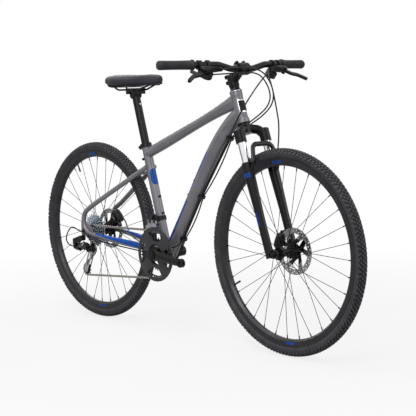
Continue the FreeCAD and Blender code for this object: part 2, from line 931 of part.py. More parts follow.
def make_rear_triangle():
    """Stays bent round the dropouts, with two bridges and the hanger."""
    spread = Vector(0, -v.stay_spread, 0)
    centre, upper, lower, high, front = stay_bend()
    radius = v.stay_diameter / 2
    seat_plug = Part.makeCylinder(v.seat_tube_diameter / 2, v.seat_tube_length)
    seat_plug.Placement = seat
    shell_plug = Part.makeCylinder(v.bracket_shell_diameter / 2, v.bracket_shell_width)
    shell_plug.Placement = crank.multiply(Placement(Vector(0, 0, -v.bracket_shell_width / 2), Rotation()))

    climb = unit(high - upper)
    knee = upper + climb * v.seatstay_straight + spread
    root = high + Vector(0, -v.seatstay_gather, 0)
    reach = (root - knee).Length
    seatstay = sweep(route([upper + spread, knee, root], [0, reach / 2, 0]), radius)
    seatstay = largest(seatstay.cut(seat_plug))

    run = unit(front - lower)
    rear_mid = bracket - run * v.chainstay_rear_back + (front - bracket)
    waist = bracket - run * v.chainstay_waist_back + (front - bracket)
    depth = v.chainstay_depth
    width = v.chainstay_width
    line = [
        lower + spread,
        lower + run * v.stay_diameter + spread,
        Vector(rear_mid.x, -v.chainstay_rear_y, rear_mid.z),
        Vector(waist.x, -v.chainstay_waist_y, waist.z),
        Vector(front.x, -v.chainstay_root_y, front.z),
    ]
    turns = [run, run] + headings(line)[2:]
    sections = [(v.stay_diameter, v.stay_diameter), (v.stay_diameter, v.stay_diameter),
                ((depth + v.stay_diameter) / 2, width), (depth, width), (depth, width)]
    stations = [(point, turn, high_size, wide_size)
                for point, turn, (high_size, wide_size) in zip(line, turns, sections)]
    chainstay = largest(oval_loft(stations, Z_AXIS).cut(shell_plug))

    angle = math.atan2((upper - centre).z, (upper - centre).x) + math.atan2((lower - centre).z, (lower - centre).x)
    middle = centre + Vector(math.cos(angle / 2), 0, math.sin(angle / 2)) * -v.stay_bend_radius
    bend = Part.Wire(Part.Arc(upper + spread, middle + spread, lower + spread).toShape())
    elbow = sweep(bend, radius)

    right_end = dropout(elbow, hanger=True)
    seatstay = largest(seatstay.cut(right_end))
    chainstay = largest(chainstay.cut(right_end))
    right = [seatstay, chainstay, right_end]
    left = [mirrored(seatstay), mirrored(chainstay), mirrored(dropout(elbow, hanger=False))]
    pieces = right + left + bridges(seatstay, chainstay, root, knee, line)
    return compound("frame_rear_triangle", [feature("rear_piece", piece) for piece in pieces])


def dropout(elbow, hanger):
    """The forged end behind the bend: axle slot, rack eye and, on the right, the hanger."""
    thickness = v.dropout_thickness
    inner = v.rear_hub_spacing / 2
    corner = v.dropout_corner
    half = v.axle_slot / 2
    ahead = v.stay_bend_ahead
    above = v.stay_bend_above
    points = [
        Vector(-ahead / 2, -above / 2, 0),
        Vector(ahead, -above / 4, 0),
        Vector(ahead, above / 3, 0),
        Vector(0, above, 0),
        Vector(-ahead / 2, above, 0),
    ]
    body = plate(points, [corner] * len(points), thickness)
    eye = Vector(-v.rack_eye_back, v.rack_eye_up, 0)
    body = body.fuse(taper_bar(Vector(0, v.rack_eye_up, 0), v.rack_eye_radius, eye, v.rack_eye_radius, thickness))
    slot = Part.makeCylinder(half, thickness)
    slot = slot.fuse(Part.makeBox(v.axle_slot, v.stay_bend_above, thickness, Vector(-half, -v.stay_bend_above, 0)))
    cuts = [slot, Part.makeCylinder(v.rack_eye_hole / 2, thickness, eye)]
    if hanger:
        bolt = Vector(-v.hanger_back, -v.hanger_down, 0)
        tongue = taper_bar(Vector(-v.hanger_back - half, 0, 0), v.hanger_radius, bolt, v.hanger_radius, thickness)
        body = body.fuse(tongue)
        cuts.append(Part.makeCylinder(v.hanger_bore / 2, thickness, bolt))
    place = Placement(rear_axle + Vector(0, -inner, 0), Rotation(X_AXIS, RIGHT_ANGLE))
    body.Placement = place
    for cut in cuts:
        cut.Placement = place.multiply(cut.Placement)
    room = Part.makeCylinder(v.axle_nut_radius + v.moving_gap, v.stay_spread * 2, rear_axle, Y_AXIS * -1)
    tube = largest(elbow.cut(room))
    return largest(body.cut(cuts).fuse(tube).removeSplitter())


def bridges(seatstay, chainstay, root, knee, line):
    """A round bar between the seatstays and another between the chainstays."""
    stays = [seatstay, chainstay, mirrored(seatstay), mirrored(chainstay)]
    made = []
    slope = unit(knee - root)
    high = root + slope * v.seat_bridge_drop
    run = unit(line[-2] - line[-1])
    low = line[-1] + run * v.chain_bridge_back
    for centre in (high, low):
        across = rod(Vector(centre.x, centre.y, centre.z), Vector(centre.x, -centre.y, centre.z), v.bridge_diameter / 2)
        made.append(largest(across.cut(stays)))
    return made


frame_front = node(make_front_triangle(), "frame_front_triangle")
frame_rear = node(make_rear_triangle(), "frame_rear_triangle")

bead_radius = v.bead_seat_diameter / 2
rim_inner_radius = bead_radius - v.rim_depth


def make_rim(label, place):
    """A box-section rim with bead hooks and a centre well."""
    bead = d.bead_seat_diameter / 2
    bed = bead - d.rim_depth
    shoulder = bed + d.rim_shoulder
    flange = bead + d.rim_flange
    well = bead - d.rim_well
    outer = d.rim_width / 2
    inner = d.rim_inner_width / 2
    side = [
        (bed, d.rim_bed / 2),
        (shoulder, outer),
        (flange, outer),
        (flange, inner),
        (bead, inner),
        (bead, inner / 2),
        (well, inner / 3),
    ]
    return turned(label, side + [(r, -w) for r, w in reversed(side)], place)


def make_tyre(label, place):
    """A hollow tyre: beads between the rim hooks, round sides and a thick tread."""
    half = v.rim_inner_width / 2 - v.seat_gap
    foot = bead_radius + v.press_gap
    throat = bead_radius + v.rim_flange + v.seat_gap
    side = bead_radius + v.tyre_height * v.tyre_side_share
    neck = bead_radius + v.tyre_height * v.tyre_neck_share
    skins = []
    for wall, tread, bead in ((0, 0, 0), (v.tyre_wall, v.tread_thickness, v.tyre_bead)):
        wide = v.tyre_width / 2 - wall
        bulge = Vector(neck + wall / 2, 0, wide * v.tyre_neck_width_share)
        skins.append([
            Vector(foot, 0, half - bead),
            Vector(throat, 0, half - bead),
            bulge,
            Vector(side, 0, wide),
            Vector(wheel_radius - tread, 0, 0),
        ])
    edges = []
    for low, throat_point, bulge, wide, crown in skins:
        flip = [Vector(p.x, p.y, -p.z) for p in (low, throat_point, bulge, wide)]
        edges += [
            Part.LineSegment(low, throat_point).toShape(),
            Part.Arc(throat_point, bulge, wide).toShape(),
            Part.Arc(wide, crown, flip[3]).toShape(),
            Part.Arc(flip[3], flip[2], flip[1]).toShape(),
            Part.LineSegment(flip[1], flip[0]).toShape(),
        ]
    for sign in (1, -1):
        ends = [Vector(skin[0].x, 0, sign * skin[0].z) for skin in skins]
        edges.append(Part.LineSegment(*ends).toShape())
    section = Part.Face(Part.Wire(Part.__sortEdges__(edges)))
    return feature(label, section.revolve(Vector(0, 0, 0), Z_AXIS, FULL_TURN), place)


def make_hub(label, place, right_end, right_flange, left_flange, disc_face, left_end):
    """A hub shell with two spoke flanges and a seat for the rotor on its left."""
    bore = d.axle_diameter / 2 + d.running_gap
    rim = d.flange_diameter / 2
    half = d.flange_thickness / 2
    waist = d.hub_body_radius
    spigot = d.rotor_bore / 2 - d.running_gap
    return turned(label, [
        (bore, -right_end),
        (d.hub_end_radius, -right_end),
        (d.hub_end_radius, -right_flange - half),
        (rim, -right_flange - half),
        (rim, -right_flange + half),
        (waist, -right_flange + half + d.hub_cone),
        (waist, left_flange - half - d.hub_cone),
        (rim, left_flange - half),
        (rim, left_flange + half),
        (spigot, left_flange + half),
        (spigot, disc_face - d.hub_disc_thickness),
        (d.hub_disc_radius, disc_face - d.hub_disc_thickness),
        (d.hub_disc_radius, disc_face),
        (spigot, disc_face),
        (spigot, disc_face + d.rotor_thickness),
        (d.hub_end_radius, disc_face + d.rotor_thickness),
        (d.hub_end_radius, left_end),
        (bore, left_end),
    ], place)


def spoke_between(start, finish):
    """One straight spoke with its nipple at the rim end, turned about its own line."""
    length = (finish - start).Length
    thin = v.spoke_diameter / 2
    thick = v.nipple_diameter / 2
    neck = length - v.nipple_length
    profile = [(0, 0), (thin, 0), (thin, neck), (thick, neck + thick), (thick, length), (0, length)]
    points = [Vector(r, 0, h) for r, h in profile]
    section = Part.Face(Part.makePolygon(points + points[:1]))
    bar = section.revolve(Vector(0, 0, 0), Z_AXIS, FULL_TURN)
    bar.Placement = Placement(start, Rotation(Z_AXIS, finish - start))
    return bar


def make_spokes(label, place, right_flange, left_flange):
    """Tangent spokes: on each flange every second one leads and the others trail."""
    per_side = int(v.spoke_count) // 2
    step = FULL_TURN / per_side
    offset = (v.flange_thickness + v.spoke_diameter) / 2 + v.spoke_lift
    rim_end = rim_inner_radius - v.seat_gap
    spokes = []
    for flange, shift in ((-right_flange, 0), (left_flange, step / 2)):
        for i in range(per_side):
            lead = 1 if i % 2 else -1
            hole = math.radians(i * step + shift)
            rim_hole = math.radians(i * step + shift + lead * v.spoke_cross_angle)
            start = Vector(math.cos(hole), math.sin(hole), 0) * v.flange_hole_radius
            start.z = flange + lead * offset
            finish = Vector(math.cos(rim_hole), math.sin(rim_hole), 0) * rim_end
            spokes.append(spoke_between(start, finish))
    return feature(label, Part.makeCompound(spokes), place)


def rotor_window(sketch):
    """One leaning opening between two rotor arms."""
    span = 2 * math.pi / v.rotor_arm_count
    lean = span * v.rotor_window_lean_share
    near = d.rotor_window_inner
    far = d.rotor_window_outer
    reach = span / 3
    low = [(near, -reach / 2), (near, reach / 2)]
    high = [(far, reach + lean), (far, lean), (far, -reach + lean)]
    outline(sketch, [(r * math.cos(a), r * math.sin(a)) for r, a in low + high])


def rotor_holes(sketch):
    """Two vent holes of the braking track, half a step apart."""
    step = math.pi / v.rotor_hole_count
    circle(sketch, d.rotor_hole_inner, 0, d.rotor_hole_radius)
    outer = d.rotor_hole_outer
    circle(sketch, outer * math.cos(step), outer * math.sin(step), d.rotor_hole_radius)


def make_rotor(label, place, face):
    """A brake rotor with leaning arms and a pierced braking track."""
    seat_place = place.multiply(Placement(Vector(0, 0, face), Rotation()))
    body = disc(label, [d.rotor_diameter / 2, d.rotor_bore / 2], d.rotor_thickness, seat_place)
    pocket_ring(body, label + "_window", v.rotor_arm_count, rotor_window)
    pocket_ring(body, label + "_hole", v.rotor_hole_count, rotor_holes)
    return body


def make_axle(label, place, half, grip, lever_angle):
    """A hollow-hub axle with a nut on the right and a quick-release lever on the left."""
    nut = v.axle_nut_radius
    outer = half + grip + v.axle_nut_length
    shaft = Part.makeCylinder(v.axle_diameter / 2, 2 * (half + grip), Vector(0, 0, -half - grip))
    right = Part.makeCone(nut, nut * v.axle_nut_taper_share, v.axle_nut_length,
                          Vector(0, 0, -half - grip), Z_AXIS * -1)
    left = Part.makeCylinder(nut, v.axle_nut_length, Vector(0, 0, half + grip))
    lever = taper_bar(Vector(0, 0, 0), nut, Vector(0, -v.axle_lever_length, 0), v.axle_lever_width / 2,
                      v.axle_lever_thickness)
    lever.Placement = Placement(Vector(0, 0, outer - v.axle_lever_thickness), Rotation())
    turned_place = place.multiply(Placement(Vector(0, 0, 0), Rotation(Z_AXIS, lever_angle)))
    return feature(label, shaft.fuse([right, left, lever]).removeSplitter(), turned_place)


front_half = v.front_hub_spacing / 2
rear_half = v.rear_hub_spacing / 2
front_disc_face = d.front_hub_spacing / 2 - d.front_rotor_inset
rear_disc_face = d.rear_hub_spacing / 2 - d.rear_rotor_inset
front_end = d.front_hub_spacing / 2 - d.seat_gap
rear_end = d.rear_hub_spacing / 2 - d.seat_gap

node(make_hub("front_hub", front_wheel, front_end, d.front_right_flange, d.front_left_flange,
              front_disc_face, front_end), "front_hub")
node(make_hub("rear_hub", rear_wheel, d.rear_hub_right, d.rear_right_flange, d.rear_left_flange,
              rear_disc_face, rear_end), "rear_hub")
node(make_spokes("front_spokes", front_wheel, v.front_right_flange, v.front_left_flange), "front_spokes")
node(make_spokes("rear_spokes", rear_wheel, v.rear_right_flange, v.rear_left_flange), "rear_spokes")
for side_name, wheel_place, rotor_face in (("front", front_wheel, float(front_disc_face)),
                                           ("rear", rear_wheel, float(rear_disc_face))):
    node(make_rim(side_name + "_rim", wheel_place), side_name + "_rim")
    node(make_tyre(side_name + "_tyre", wheel_place), side_name + "_tyre")
    node(make_rotor(side_name + "_rotor", wheel_place, rotor_face), side_name + "_rotor")
node(make_axle("front_axle", front_wheel, front_half, v.fork_dropout_thickness, v.front_lever_angle), "front_axle")
node(make_axle("rear_axle", rear_wheel, rear_half, v.dropout_thickness, v.rear_lever_angle), "rear_axle")


def make_headset_cups():
    """Two bearing cups pressed into the ends of the head tube."""
    inner = d.steerer_diameter / 2 + d.running_gap
    wall = d.head_tube_bore / 2 - d.press_gap
    flange = d.cup_flange_diameter / 2
    corners = [
        (inner, -d.cup_flange_thickness),
        (flange, -d.cup_flange_thickness),
        (flange, 0),
        (wall, 0),
        (wall, d.cup_depth),
        (inner, d.cup_depth),
    ]
    top = steer.multiply(Placement(Vector(0, 0, v.head_tube_length), Rotation(X_AXIS, 2 * RIGHT_ANGLE)))
    return compound("headset_cups", [turned("lower_cup", corners, steer), turned("upper_cup", corners, top)])


CALIPER_SHARES = [(-0.5, 0.55), (-0.36, 0.9), (0, 1), (0.36, 0.9), (0.5, 0.55)]
CROWN_ARM_SHARES = [(1, 1, 0), (0.74, 0.7, 0.72), (0.15, 0.2, 1)]

crown_top = -v.cup_flange_thickness - v.seat_gap
stack_foot = v.head_tube_length + v.cup_flange_thickness + v.seat_gap
stem_foot = stack_foot + v.headset_cover_height + v.spacer_height
stem_top = stem_foot + v.stem_height


def make_crown():
    """Fork crown with its steerer: a hub, two arms that drop to the legs and two lobes."""
    hub = Part.makeCylinder(v.crown_hub_diameter / 2, v.crown_hub_depth, Vector(0, 0, crown_top - v.crown_hub_depth))
    steerer = Part.makeCylinder(v.steerer_diameter / 2, stem_top - v.top_cap_height / 2 - crown_top,
                                Vector(0, 0, crown_top))
    low = -(v.crown_lobe_top + v.crown_lobe_bottom) / 2
    high = crown_top - v.crown_hub_depth * v.crown_arm_drop_share
    half = []
    for along, across, rise in CROWN_ARM_SHARES:
        half.append(Vector(v.leg_offset * along, v.leg_spread * across, low + (high - low) * rise))
    other = [Vector(p.x, -p.y, p.z) for p in half]
    bend = v.crown_arm_bend
    line = route(half + other[::-1], [0, bend, bend, bend, bend, 0])
    pieces = [steerer, sweep(line, v.crown_arm_diameter / 2)]
    for side in (-1, 1):
        foot = Vector(v.leg_offset, side * v.leg_spread, -v.crown_lobe_bottom)
        height = v.crown_lobe_bottom - v.crown_lobe_top
        pieces.append(Part.makeCylinder(v.crown_lobe_diameter / 2, height, foot))
        pieces.append(Part.makeCone(v.crown_lobe_diameter / 2, v.stanchion_diameter / 2, v.crown_lobe_cap,
                                    foot + Vector(0, 0, height)))
    solid = hub.fuse(pieces)
    bores = []
    for side in (-1, 1):
        foot = Vector(v.leg_offset, side * v.leg_spread, -v.crown_lobe_bottom - v.cut_overrun)
        bores.append(Part.makeCylinder(v.stanchion_diameter / 2 + v.press_gap,
                                       v.crown_lobe_bottom + v.cut_overrun - v.crown_lobe_top, foot))
    return feature("fork_crown", largest(solid.cut(bores)), steer)


def make_stanchions():
    """Two hollow sliding tubes pressed into the crown."""
    tubes = []
    top = -v.crown_lobe_top - v.press_gap
    foot = -v.seal_top - v.stanchion_overlap
    for side in (-1, 1):
        base = Vector(v.leg_offset, side * v.leg_spread, foot)
        outer = Part.makeCylinder(v.stanchion_diameter / 2, top - foot, base)
        inner = Part.makeCylinder(v.stanchion_diameter / 2 - v.stanchion_wall, top - foot - v.stanchion_wall, base)
        tubes.append(outer.cut(inner))
    return feature("fork_stanchions", Part.makeCompound(tubes), steer)


def leg_blank(side):
    """One tapering lower leg with its seal ring at the top."""
    base = Vector(v.leg_offset, side * v.leg_spread, 0)
    shoulder = -v.seal_top - v.seal_height
    profile = [
        (0, -v.leg_end),
        (v.leg_end_diameter / 2, -v.leg_end),
        (v.leg_end_diameter / 2, -(v.leg_end + v.arch_root) / 2),
        (v.leg_top_diameter / 2, -v.arch_root),
        (v.leg_top_diameter / 2, shoulder),
        (v.seal_diameter / 2, shoulder),
        (v.seal_diameter / 2, -v.seal_top - v.seal_height / 3),
        (v.stanchion_diameter / 2 + v.stanchion_wall, -v.seal_top),
        (0, -v.seal_top),
    ]
    points = [Vector(r, 0, h) for r, h in profile]
    blank = Part.Face(Part.makePolygon(points + points[:1])).revolve(Vector(0, 0, 0), Z_AXIS, FULL_TURN)
    blank.Placement = Placement(base, Rotation())
    return blank


def make_lowers():
    """The fork's sliding casting: two legs, the arch over the tyre and two dropouts."""
    solid = leg_blank(-1).fuse(leg_blank(1))
    root = v.leg_offset + v.leg_top_diameter / 4
    arch_low = -v.seal_top - v.seal_height
    path = []
    for side in (-1, 1):
        half = [
            Vector(root, side * v.leg_spread, -v.arch_root),
            Vector(v.arch_ahead, side * v.leg_spread, arch_low),
            Vector(v.arch_ahead, side * v.arch_half_width, -v.arch_top),
        ]
        path += half if side < 0 else half[::-1]
    corner = v.arch_corner
    line = route(path, [0, corner, corner, corner, corner, 0])
    section = oval(path[0], path[1] - path[0], Y_AXIS, v.arch_width, v.arch_depth)
    arch = line.makePipeShell([section], True, False, 2)
    solid = solid.fuse(arch)
    half_hub = v.front_hub_spacing / 2
    post_across = v.front_bracket_face + v.caliper_bracket_thickness / 2
    post_end = v.caliper_post_offset + v.caliper_bracket_radius + v.seat_gap
    for drop in (v.caliper_post_high, v.caliper_post_low):
        post = rod(Vector(post_end, post_across, -drop), Vector(v.leg_offset, post_across, -drop), v.caliper_post_radius)
        solid = solid.fuse(post)
    for side in (-1, 1):
        flat = taper_bar(Vector(v.leg_offset, -v.leg_end + v.fork_dropout_radius, 0), v.leg_end_diameter / 2,
                         Vector(v.fork_rake, -v.fork_length, 0), v.fork_dropout_radius, v.fork_dropout_thickness)
        flat.Placement = Placement(Vector(0, side * half_hub + (0 if side < 0 else v.fork_dropout_thickness), 0),
                                   Rotation(X_AXIS, RIGHT_ANGLE))
        solid = solid.fuse(flat)
    axle = Vector(v.fork_rake, 0, -v.fork_length)
    reach = v.leg_spread * 2
    cuts = [
        Part.makeCylinder(v.axle_diameter / 2 + v.running_gap, 2 * reach, axle - Y_AXIS * reach, Y_AXIS),
        Part.makeCylinder(v.hub_clearance_radius, 2 * half_hub, axle - Y_AXIS * half_hub, Y_AXIS),
        Part.makeCylinder(v.rotor_diameter / 2 + v.moving_gap, v.rotor_thickness + 2 * v.moving_gap,
                          axle + Y_AXIS * (half_hub - v.front_rotor_inset - v.moving_gap), Y_AXIS),
    ]
    outside = half_hub + v.fork_dropout_thickness
    for side in (-1, 1):
        start = axle + Y_AXIS * (side * outside)
        cuts.append(Part.makeCylinder(v.axle_nut_radius + v.moving_gap, reach, start, Y_AXIS * side))
        foot = Vector(v.leg_offset, side * v.leg_spread, -v.seal_top - v.leg_bore_depth)
        cuts.append(Part.makeCylinder(v.stanchion_diameter / 2 + v.running_gap, v.leg_bore_depth + v.cut_overrun, foot))
    return feature("fork_lowers", largest(solid.cut(cuts).removeSplitter()), steer)


def make_caliper(label, place, plane, angle, feet, bracket_low):
    """A brake caliper: an oval body slotted over the rotor, with a bracket to its mounts."""
    turn = math.radians(angle)
    out = Vector(math.cos(turn), -math.sin(turn), 0)
    along = Vector(math.sin(turn), math.cos(turn), 0)
    centre = out * v.caliper_reach + Vector(0, 0, plane)
    stations = [(centre + along * (v.caliper_length * reach), along, v.caliper_depth * fat, v.caliper_width * fat)
                for reach, fat in CALIPER_SHARES]
    body = oval_loft(stations, out)
    for foot in feet:
        tab = taper_bar(out * v.caliper_reach, v.caliper_bracket_radius, Vector(foot.x, foot.y, 0),
                        v.caliper_bracket_radius * (1 - v.outline_tolerance), v.caliper_bracket_thickness)
        body = body.fuse(tab.translated(Z_AXIS * bracket_low))
    room = v.rotor_thickness / 2 + v.pad_gap
    slot = Part.makeCylinder(v.rotor_diameter / 2 + v.moving_gap, 2 * room, Vector(0, 0, plane - room))
    return feature(label, largest(body.cut(slot)), place)


def make_front_caliper():
    """Front caliper behind the left leg."""
    plane = v.front_hub_spacing / 2 - v.front_rotor_inset + v.rotor_thickness / 2
    feet = []
    for drop in (v.caliper_post_high, v.caliper_post_low):
        feet.append(front_wheel.inverse().multVec(steer.multVec(Vector(v.caliper_post_offset, 0, -drop))))
    return make_caliper("front_caliper", front_wheel, plane, v.front_caliper_angle, feet, v.front_bracket_face)


def make_rear_caliper():
    """Rear caliper inside the bend of the left stays."""
    plane = v.rear_hub_spacing / 2 - v.rear_rotor_inset + v.rotor_thickness / 2
    turn = math.radians(v.rear_caliper_angle)
    foot = Vector(math.cos(turn), -math.sin(turn), 0) * v.rear_caliper_foot
    low = v.rear_hub_spacing / 2 - v.caliper_bracket_thickness - v.seat_gap
    return make_caliper("rear_caliper", rear_wheel, plane, v.rear_caliper_angle, [foot], low)


node(make_headset_cups(), "headset_cups")
node(make_crown(), "fork_crown")
node(make_stanchions(), "fork_stanchions")
node(make_lowers(), "fork_lowers")
node(make_front_caliper(), "front_caliper")
node(make_rear_caliper(), "rear_caliper")


def make_headset_stack():
    """Tapered cover and spacer under the stem, and the cap over it."""
    bore = d.steerer_diameter / 2 + d.press_gap
    foot = d.head_tube_length + d.cup_flange_thickness + d.seat_gap
    top = foot + d.headset_cover_height
    cover = turned("headset_cover", [
        (bore, foot),
        (d.cup_flange_diameter / 2, foot),
        (d.headset_cover_top / 2, top),
        (bore, top),
    ], steer)
    spacer = disc("headset_spacer", [d.spacer_diameter / 2, bore], d.spacer_height,
                  steer.multiply(Placement(Vector(0, 0, float(top)), Rotation())))
    cap = turned("top_cap", [
        (0, 0),
        (d.spacer_diameter / 2, 0),
        (d.spacer_diameter / 2, d.top_cap_height / 2),
        (d.steerer_diameter / 2, d.top_cap_height),
        (0, d.top_cap_height),
    ], steer.multiply(Placement(Vector(0, 0, stem_top), Rotation())))
    return compound("headset_spacers", [cover, spacer, cap])


bar_centre_local = Vector(v.stem_reach, 0, (stem_foot + stem_top) / 2 + v.stem_rise)
bar_centre = steer.multVec(bar_centre_local)


def make_stem():
    """Stem clamped on the steerer, and the faceplate that holds the bar."""
    column = Part.makeCylinder(v.stem_column_diameter / 2, v.stem_height, Vector(0, 0, stem_foot))
    middle = Vector(0, 0, (stem_foot + stem_top) / 2 - v.stem_neck_drop)
    run = bar_centre_local - middle
    neck = oval_loft([(middle, run, v.stem_neck_depth, v.stem_neck_width),
                      (middle + run / 2, run, v.stem_neck_depth, v.stem_neck_width),
                      (bar_centre_local, run, v.stem_neck_depth, v.stem_clamp_width)], Z_AXIS)
    start = bar_centre_local - Y_AXIS * (v.stem_clamp_width / 2)
    clamp = Part.makeCylinder(v.stem_clamp_diameter / 2, v.stem_clamp_width, start, Y_AXIS)
    bar_hole = Part.makeCylinder(v.bar_centre_diameter / 2 + v.press_gap, 2 * v.stem_clamp_width,
                                 start - Y_AXIS * (v.stem_clamp_width / 2), Y_AXIS)
    steerer_hole = Part.makeCylinder(v.steerer_diameter / 2 + v.press_gap, v.stem_height, Vector(0, 0, stem_foot))
    whole = column.fuse([neck, clamp]).cut([bar_hole, steerer_hole])
    ahead = Part.makeBox(v.stem_clamp_diameter, v.stem_clamp_diameter * 2, v.stem_clamp_diameter * 2,
                         Vector(0, -v.stem_clamp_diameter, -v.stem_clamp_diameter))
    split = Placement(bar_centre_local + unit(run) * (v.faceplate_gap / 2), Rotation(X_AXIS, run))
    behind = Placement(bar_centre_local - unit(run) * (v.faceplate_gap / 2), Rotation(X_AXIS, run))
    front_half = ahead.copy()
    front_half.Placement = split
    rear_cut = ahead.copy()
    rear_cut.Placement = behind
    stem = feature("stem", largest(whole.cut(rear_cut)), steer)
    faceplate = feature("stem_faceplate", largest(whole.common(front_half)), steer)
    return stem, faceplate


def bar_line():
    """Corners of the handlebar's left half, from its centre outward."""
    sweep_back = math.tan(math.radians(v.bar_sweep_angle)) * (v.bar_half_width - v.bar_rise_half)
    return [
        bar_centre,
        bar_centre + Vector(0, v.bar_taper_half, 0),
        bar_centre + Vector(0, v.bar_rise_half, v.bar_rise),
        bar_centre + Vector(-sweep_back, v.bar_half_width, v.bar_rise),
    ]


def make_handlebar():
    """A riser bar: thick at the stem, bent up and swept back to the grips."""
    half = bar_line()
    other = [Vector(p.x, -p.y, p.z) for p in half[1:]]
    path = other[::-1] + half[1:]
    bend = v.bar_bend_radius
    tube = sweep(route(path, [0, bend, bend, bend, bend, 0]), v.bar_diameter / 2)
    centre = Part.makeCylinder(v.bar_centre_diameter / 2, 2 * v.bar_centre_half,
                               bar_centre - Y_AXIS * v.bar_centre_half, Y_AXIS)
    cones = []
    for side in (-1, 1):
        cones.append(Part.makeCone(v.bar_centre_diameter / 2, v.bar_diameter / 2 - v.press_gap,
                                   v.bar_taper_half - v.bar_centre_half - v.bar_rise,
                                   bar_centre + Y_AXIS * (side * v.bar_centre_half), Y_AXIS * side))
    return feature("handlebar", largest(tube.fuse([centre] + cones)))


def make_grips():
    """Two grips: a collar at the inner end, a swelling body and a closed outer end."""
    hole = d.bar_diameter / 2 + d.press_gap
    collar = d.grip_collar_diameter / 2
    body = d.grip_diameter / 2
    length = d.grip_length
    corners = [
        (hole, 0),
        (collar, 0),
        (collar, d.grip_collar_length),
        (body, d.grip_collar_length * 2),
        (body - d.grip_end_thickness / 4, length / 2),
        (body, length - d.grip_end_thickness),
        (body - d.grip_end_thickness / 2, length),
        (0, length),
        (0, length - d.grip_end_thickness + d.seat_gap),
        (hole, length - d.grip_end_thickness + d.seat_gap),
    ]
    half = bar_line()
    out = unit(half[3] - half[2])
    foot = half[3] - out * (v.grip_length - v.grip_end_thickness)
    left = turned("left_grip", corners, Placement(foot, Rotation(Z_AXIS, out)))
    right = doc.addObject("Part::Mirroring", "right_grip")
    right.Source = left
    right.Normal = Y_AXIS
    return compound("grips", [left, right])


def lever_frame():
    """Right-hand lever frame: X outward along the bar, Y forward and down, Z up."""
    half = [Vector(p.x, -p.y, p.z) for p in bar_line()]
    out = unit(half[3] - half[2])
    share = (v.lever_place - v.bar_rise_half) / (v.bar_half_width - v.bar_rise_half)
    place = half[2] + (half[3] - half[2]) * share
    level = out.cross(Z_AXIS) * -1
    tilt = math.radians(v.lever_tilt_angle)
    ahead = level * math.cos(tilt) - Z_AXIS * math.sin(tilt)
    up = out.cross(ahead)
    turn = Rotation(out, ahead, up, "XYZ")
    return Placement(place, turn)


lever_place = lever_frame()


def make_lever_bracket():
    """Lever bracket: a bar clamp and a tapering reservoir that runs inboard."""
    clamp = Part.makeCylinder(v.clamp_diameter / 2, v.clamp_width, Vector(-v.clamp_width / 2, 0, 0), X_AXIS)
    body = oval_loft([
        (Vector(v.bracket_outboard, v.bracket_ahead, 0), X_AXIS, v.bracket_fat, v.bracket_thin),
        (Vector(0, v.bracket_ahead, 0), X_AXIS, v.bracket_fat, v.bracket_fat),
        (Vector(-v.bracket_length / 2, v.bracket_ahead, 0), X_AXIS, v.bracket_fat, v.bracket_thin),
        (Vector(-v.bracket_length, v.bracket_ahead, 0), X_AXIS, v.bracket_thin, v.bracket_thin),
    ], Z_AXIS)
    neck = Part.makeBox(v.clamp_width, v.bracket_ahead, v.bracket_thin,
                        Vector(-v.clamp_width / 2, 0, -v.bracket_thin / 2))
    hole = Part.makeCylinder(v.bar_diameter / 2 + v.press_gap, 2 * v.clamp_width, Vector(-v.clamp_width, 0, 0), X_AXIS)
    pivot = Vector(v.lever_pivot_out, v.lever_pivot_ahead, 0)
    room_height = v.lever_thickness + 2 * v.moving_gap
    behind = v.lever_root_radius + v.moving_gap
    room = Part.makeBox(v.bracket_fat * 2, v.bracket_fat * 2, room_height,
                        pivot - Vector(behind, behind, room_height / 2))
    pin = Part.makeCylinder(v.lever_pin_diameter / 2, v.bracket_fat, pivot - Z_AXIS * (v.bracket_fat / 2))
    ear = Part.makeCylinder(v.lever_root_radius, v.bracket_fat, pivot - Z_AXIS * (v.bracket_fat / 2))
    return largest(clamp.fuse([body, neck, ear]).cut([hole, room]).fuse(pin))


def make_lever_blade():
    """Two-finger lever blade, bent forward from its pivot to the tip."""
    joints = [
        (v.lever_pivot_out, v.lever_pivot_ahead, v.lever_root_radius),
        (v.lever_knuckle_out, v.lever_knuckle_ahead, v.lever_blade_radius),
        (v.lever_mid_out, v.lever_mid_ahead, v.lever_blade_radius),
        (v.lever_tip_out, v.lever_tip_ahead, v.lever_blade_radius),
    ]
    bars = []
    for (x1, y1, r1), (x2, y2, r2) in zip(joints, joints[1:]):
        bars.append(taper_bar(Vector(x1, y1, 0), r1, Vector(x2, y2, 0), r2, v.lever_thickness))
    blade = bars[0].fuse(bars[1:])
    hole = Part.makeCylinder(v.lever_pin_diameter / 2 + v.running_gap, v.lever_thickness,
                             Vector(v.lever_pivot_out, v.lever_pivot_ahead, 0))
    blade = blade.cut(hole).removeSplitter()
    blade.Placement = Placement(Vector(0, 0, -v.lever_thickness / 2), Rotation())
    return largest(blade)


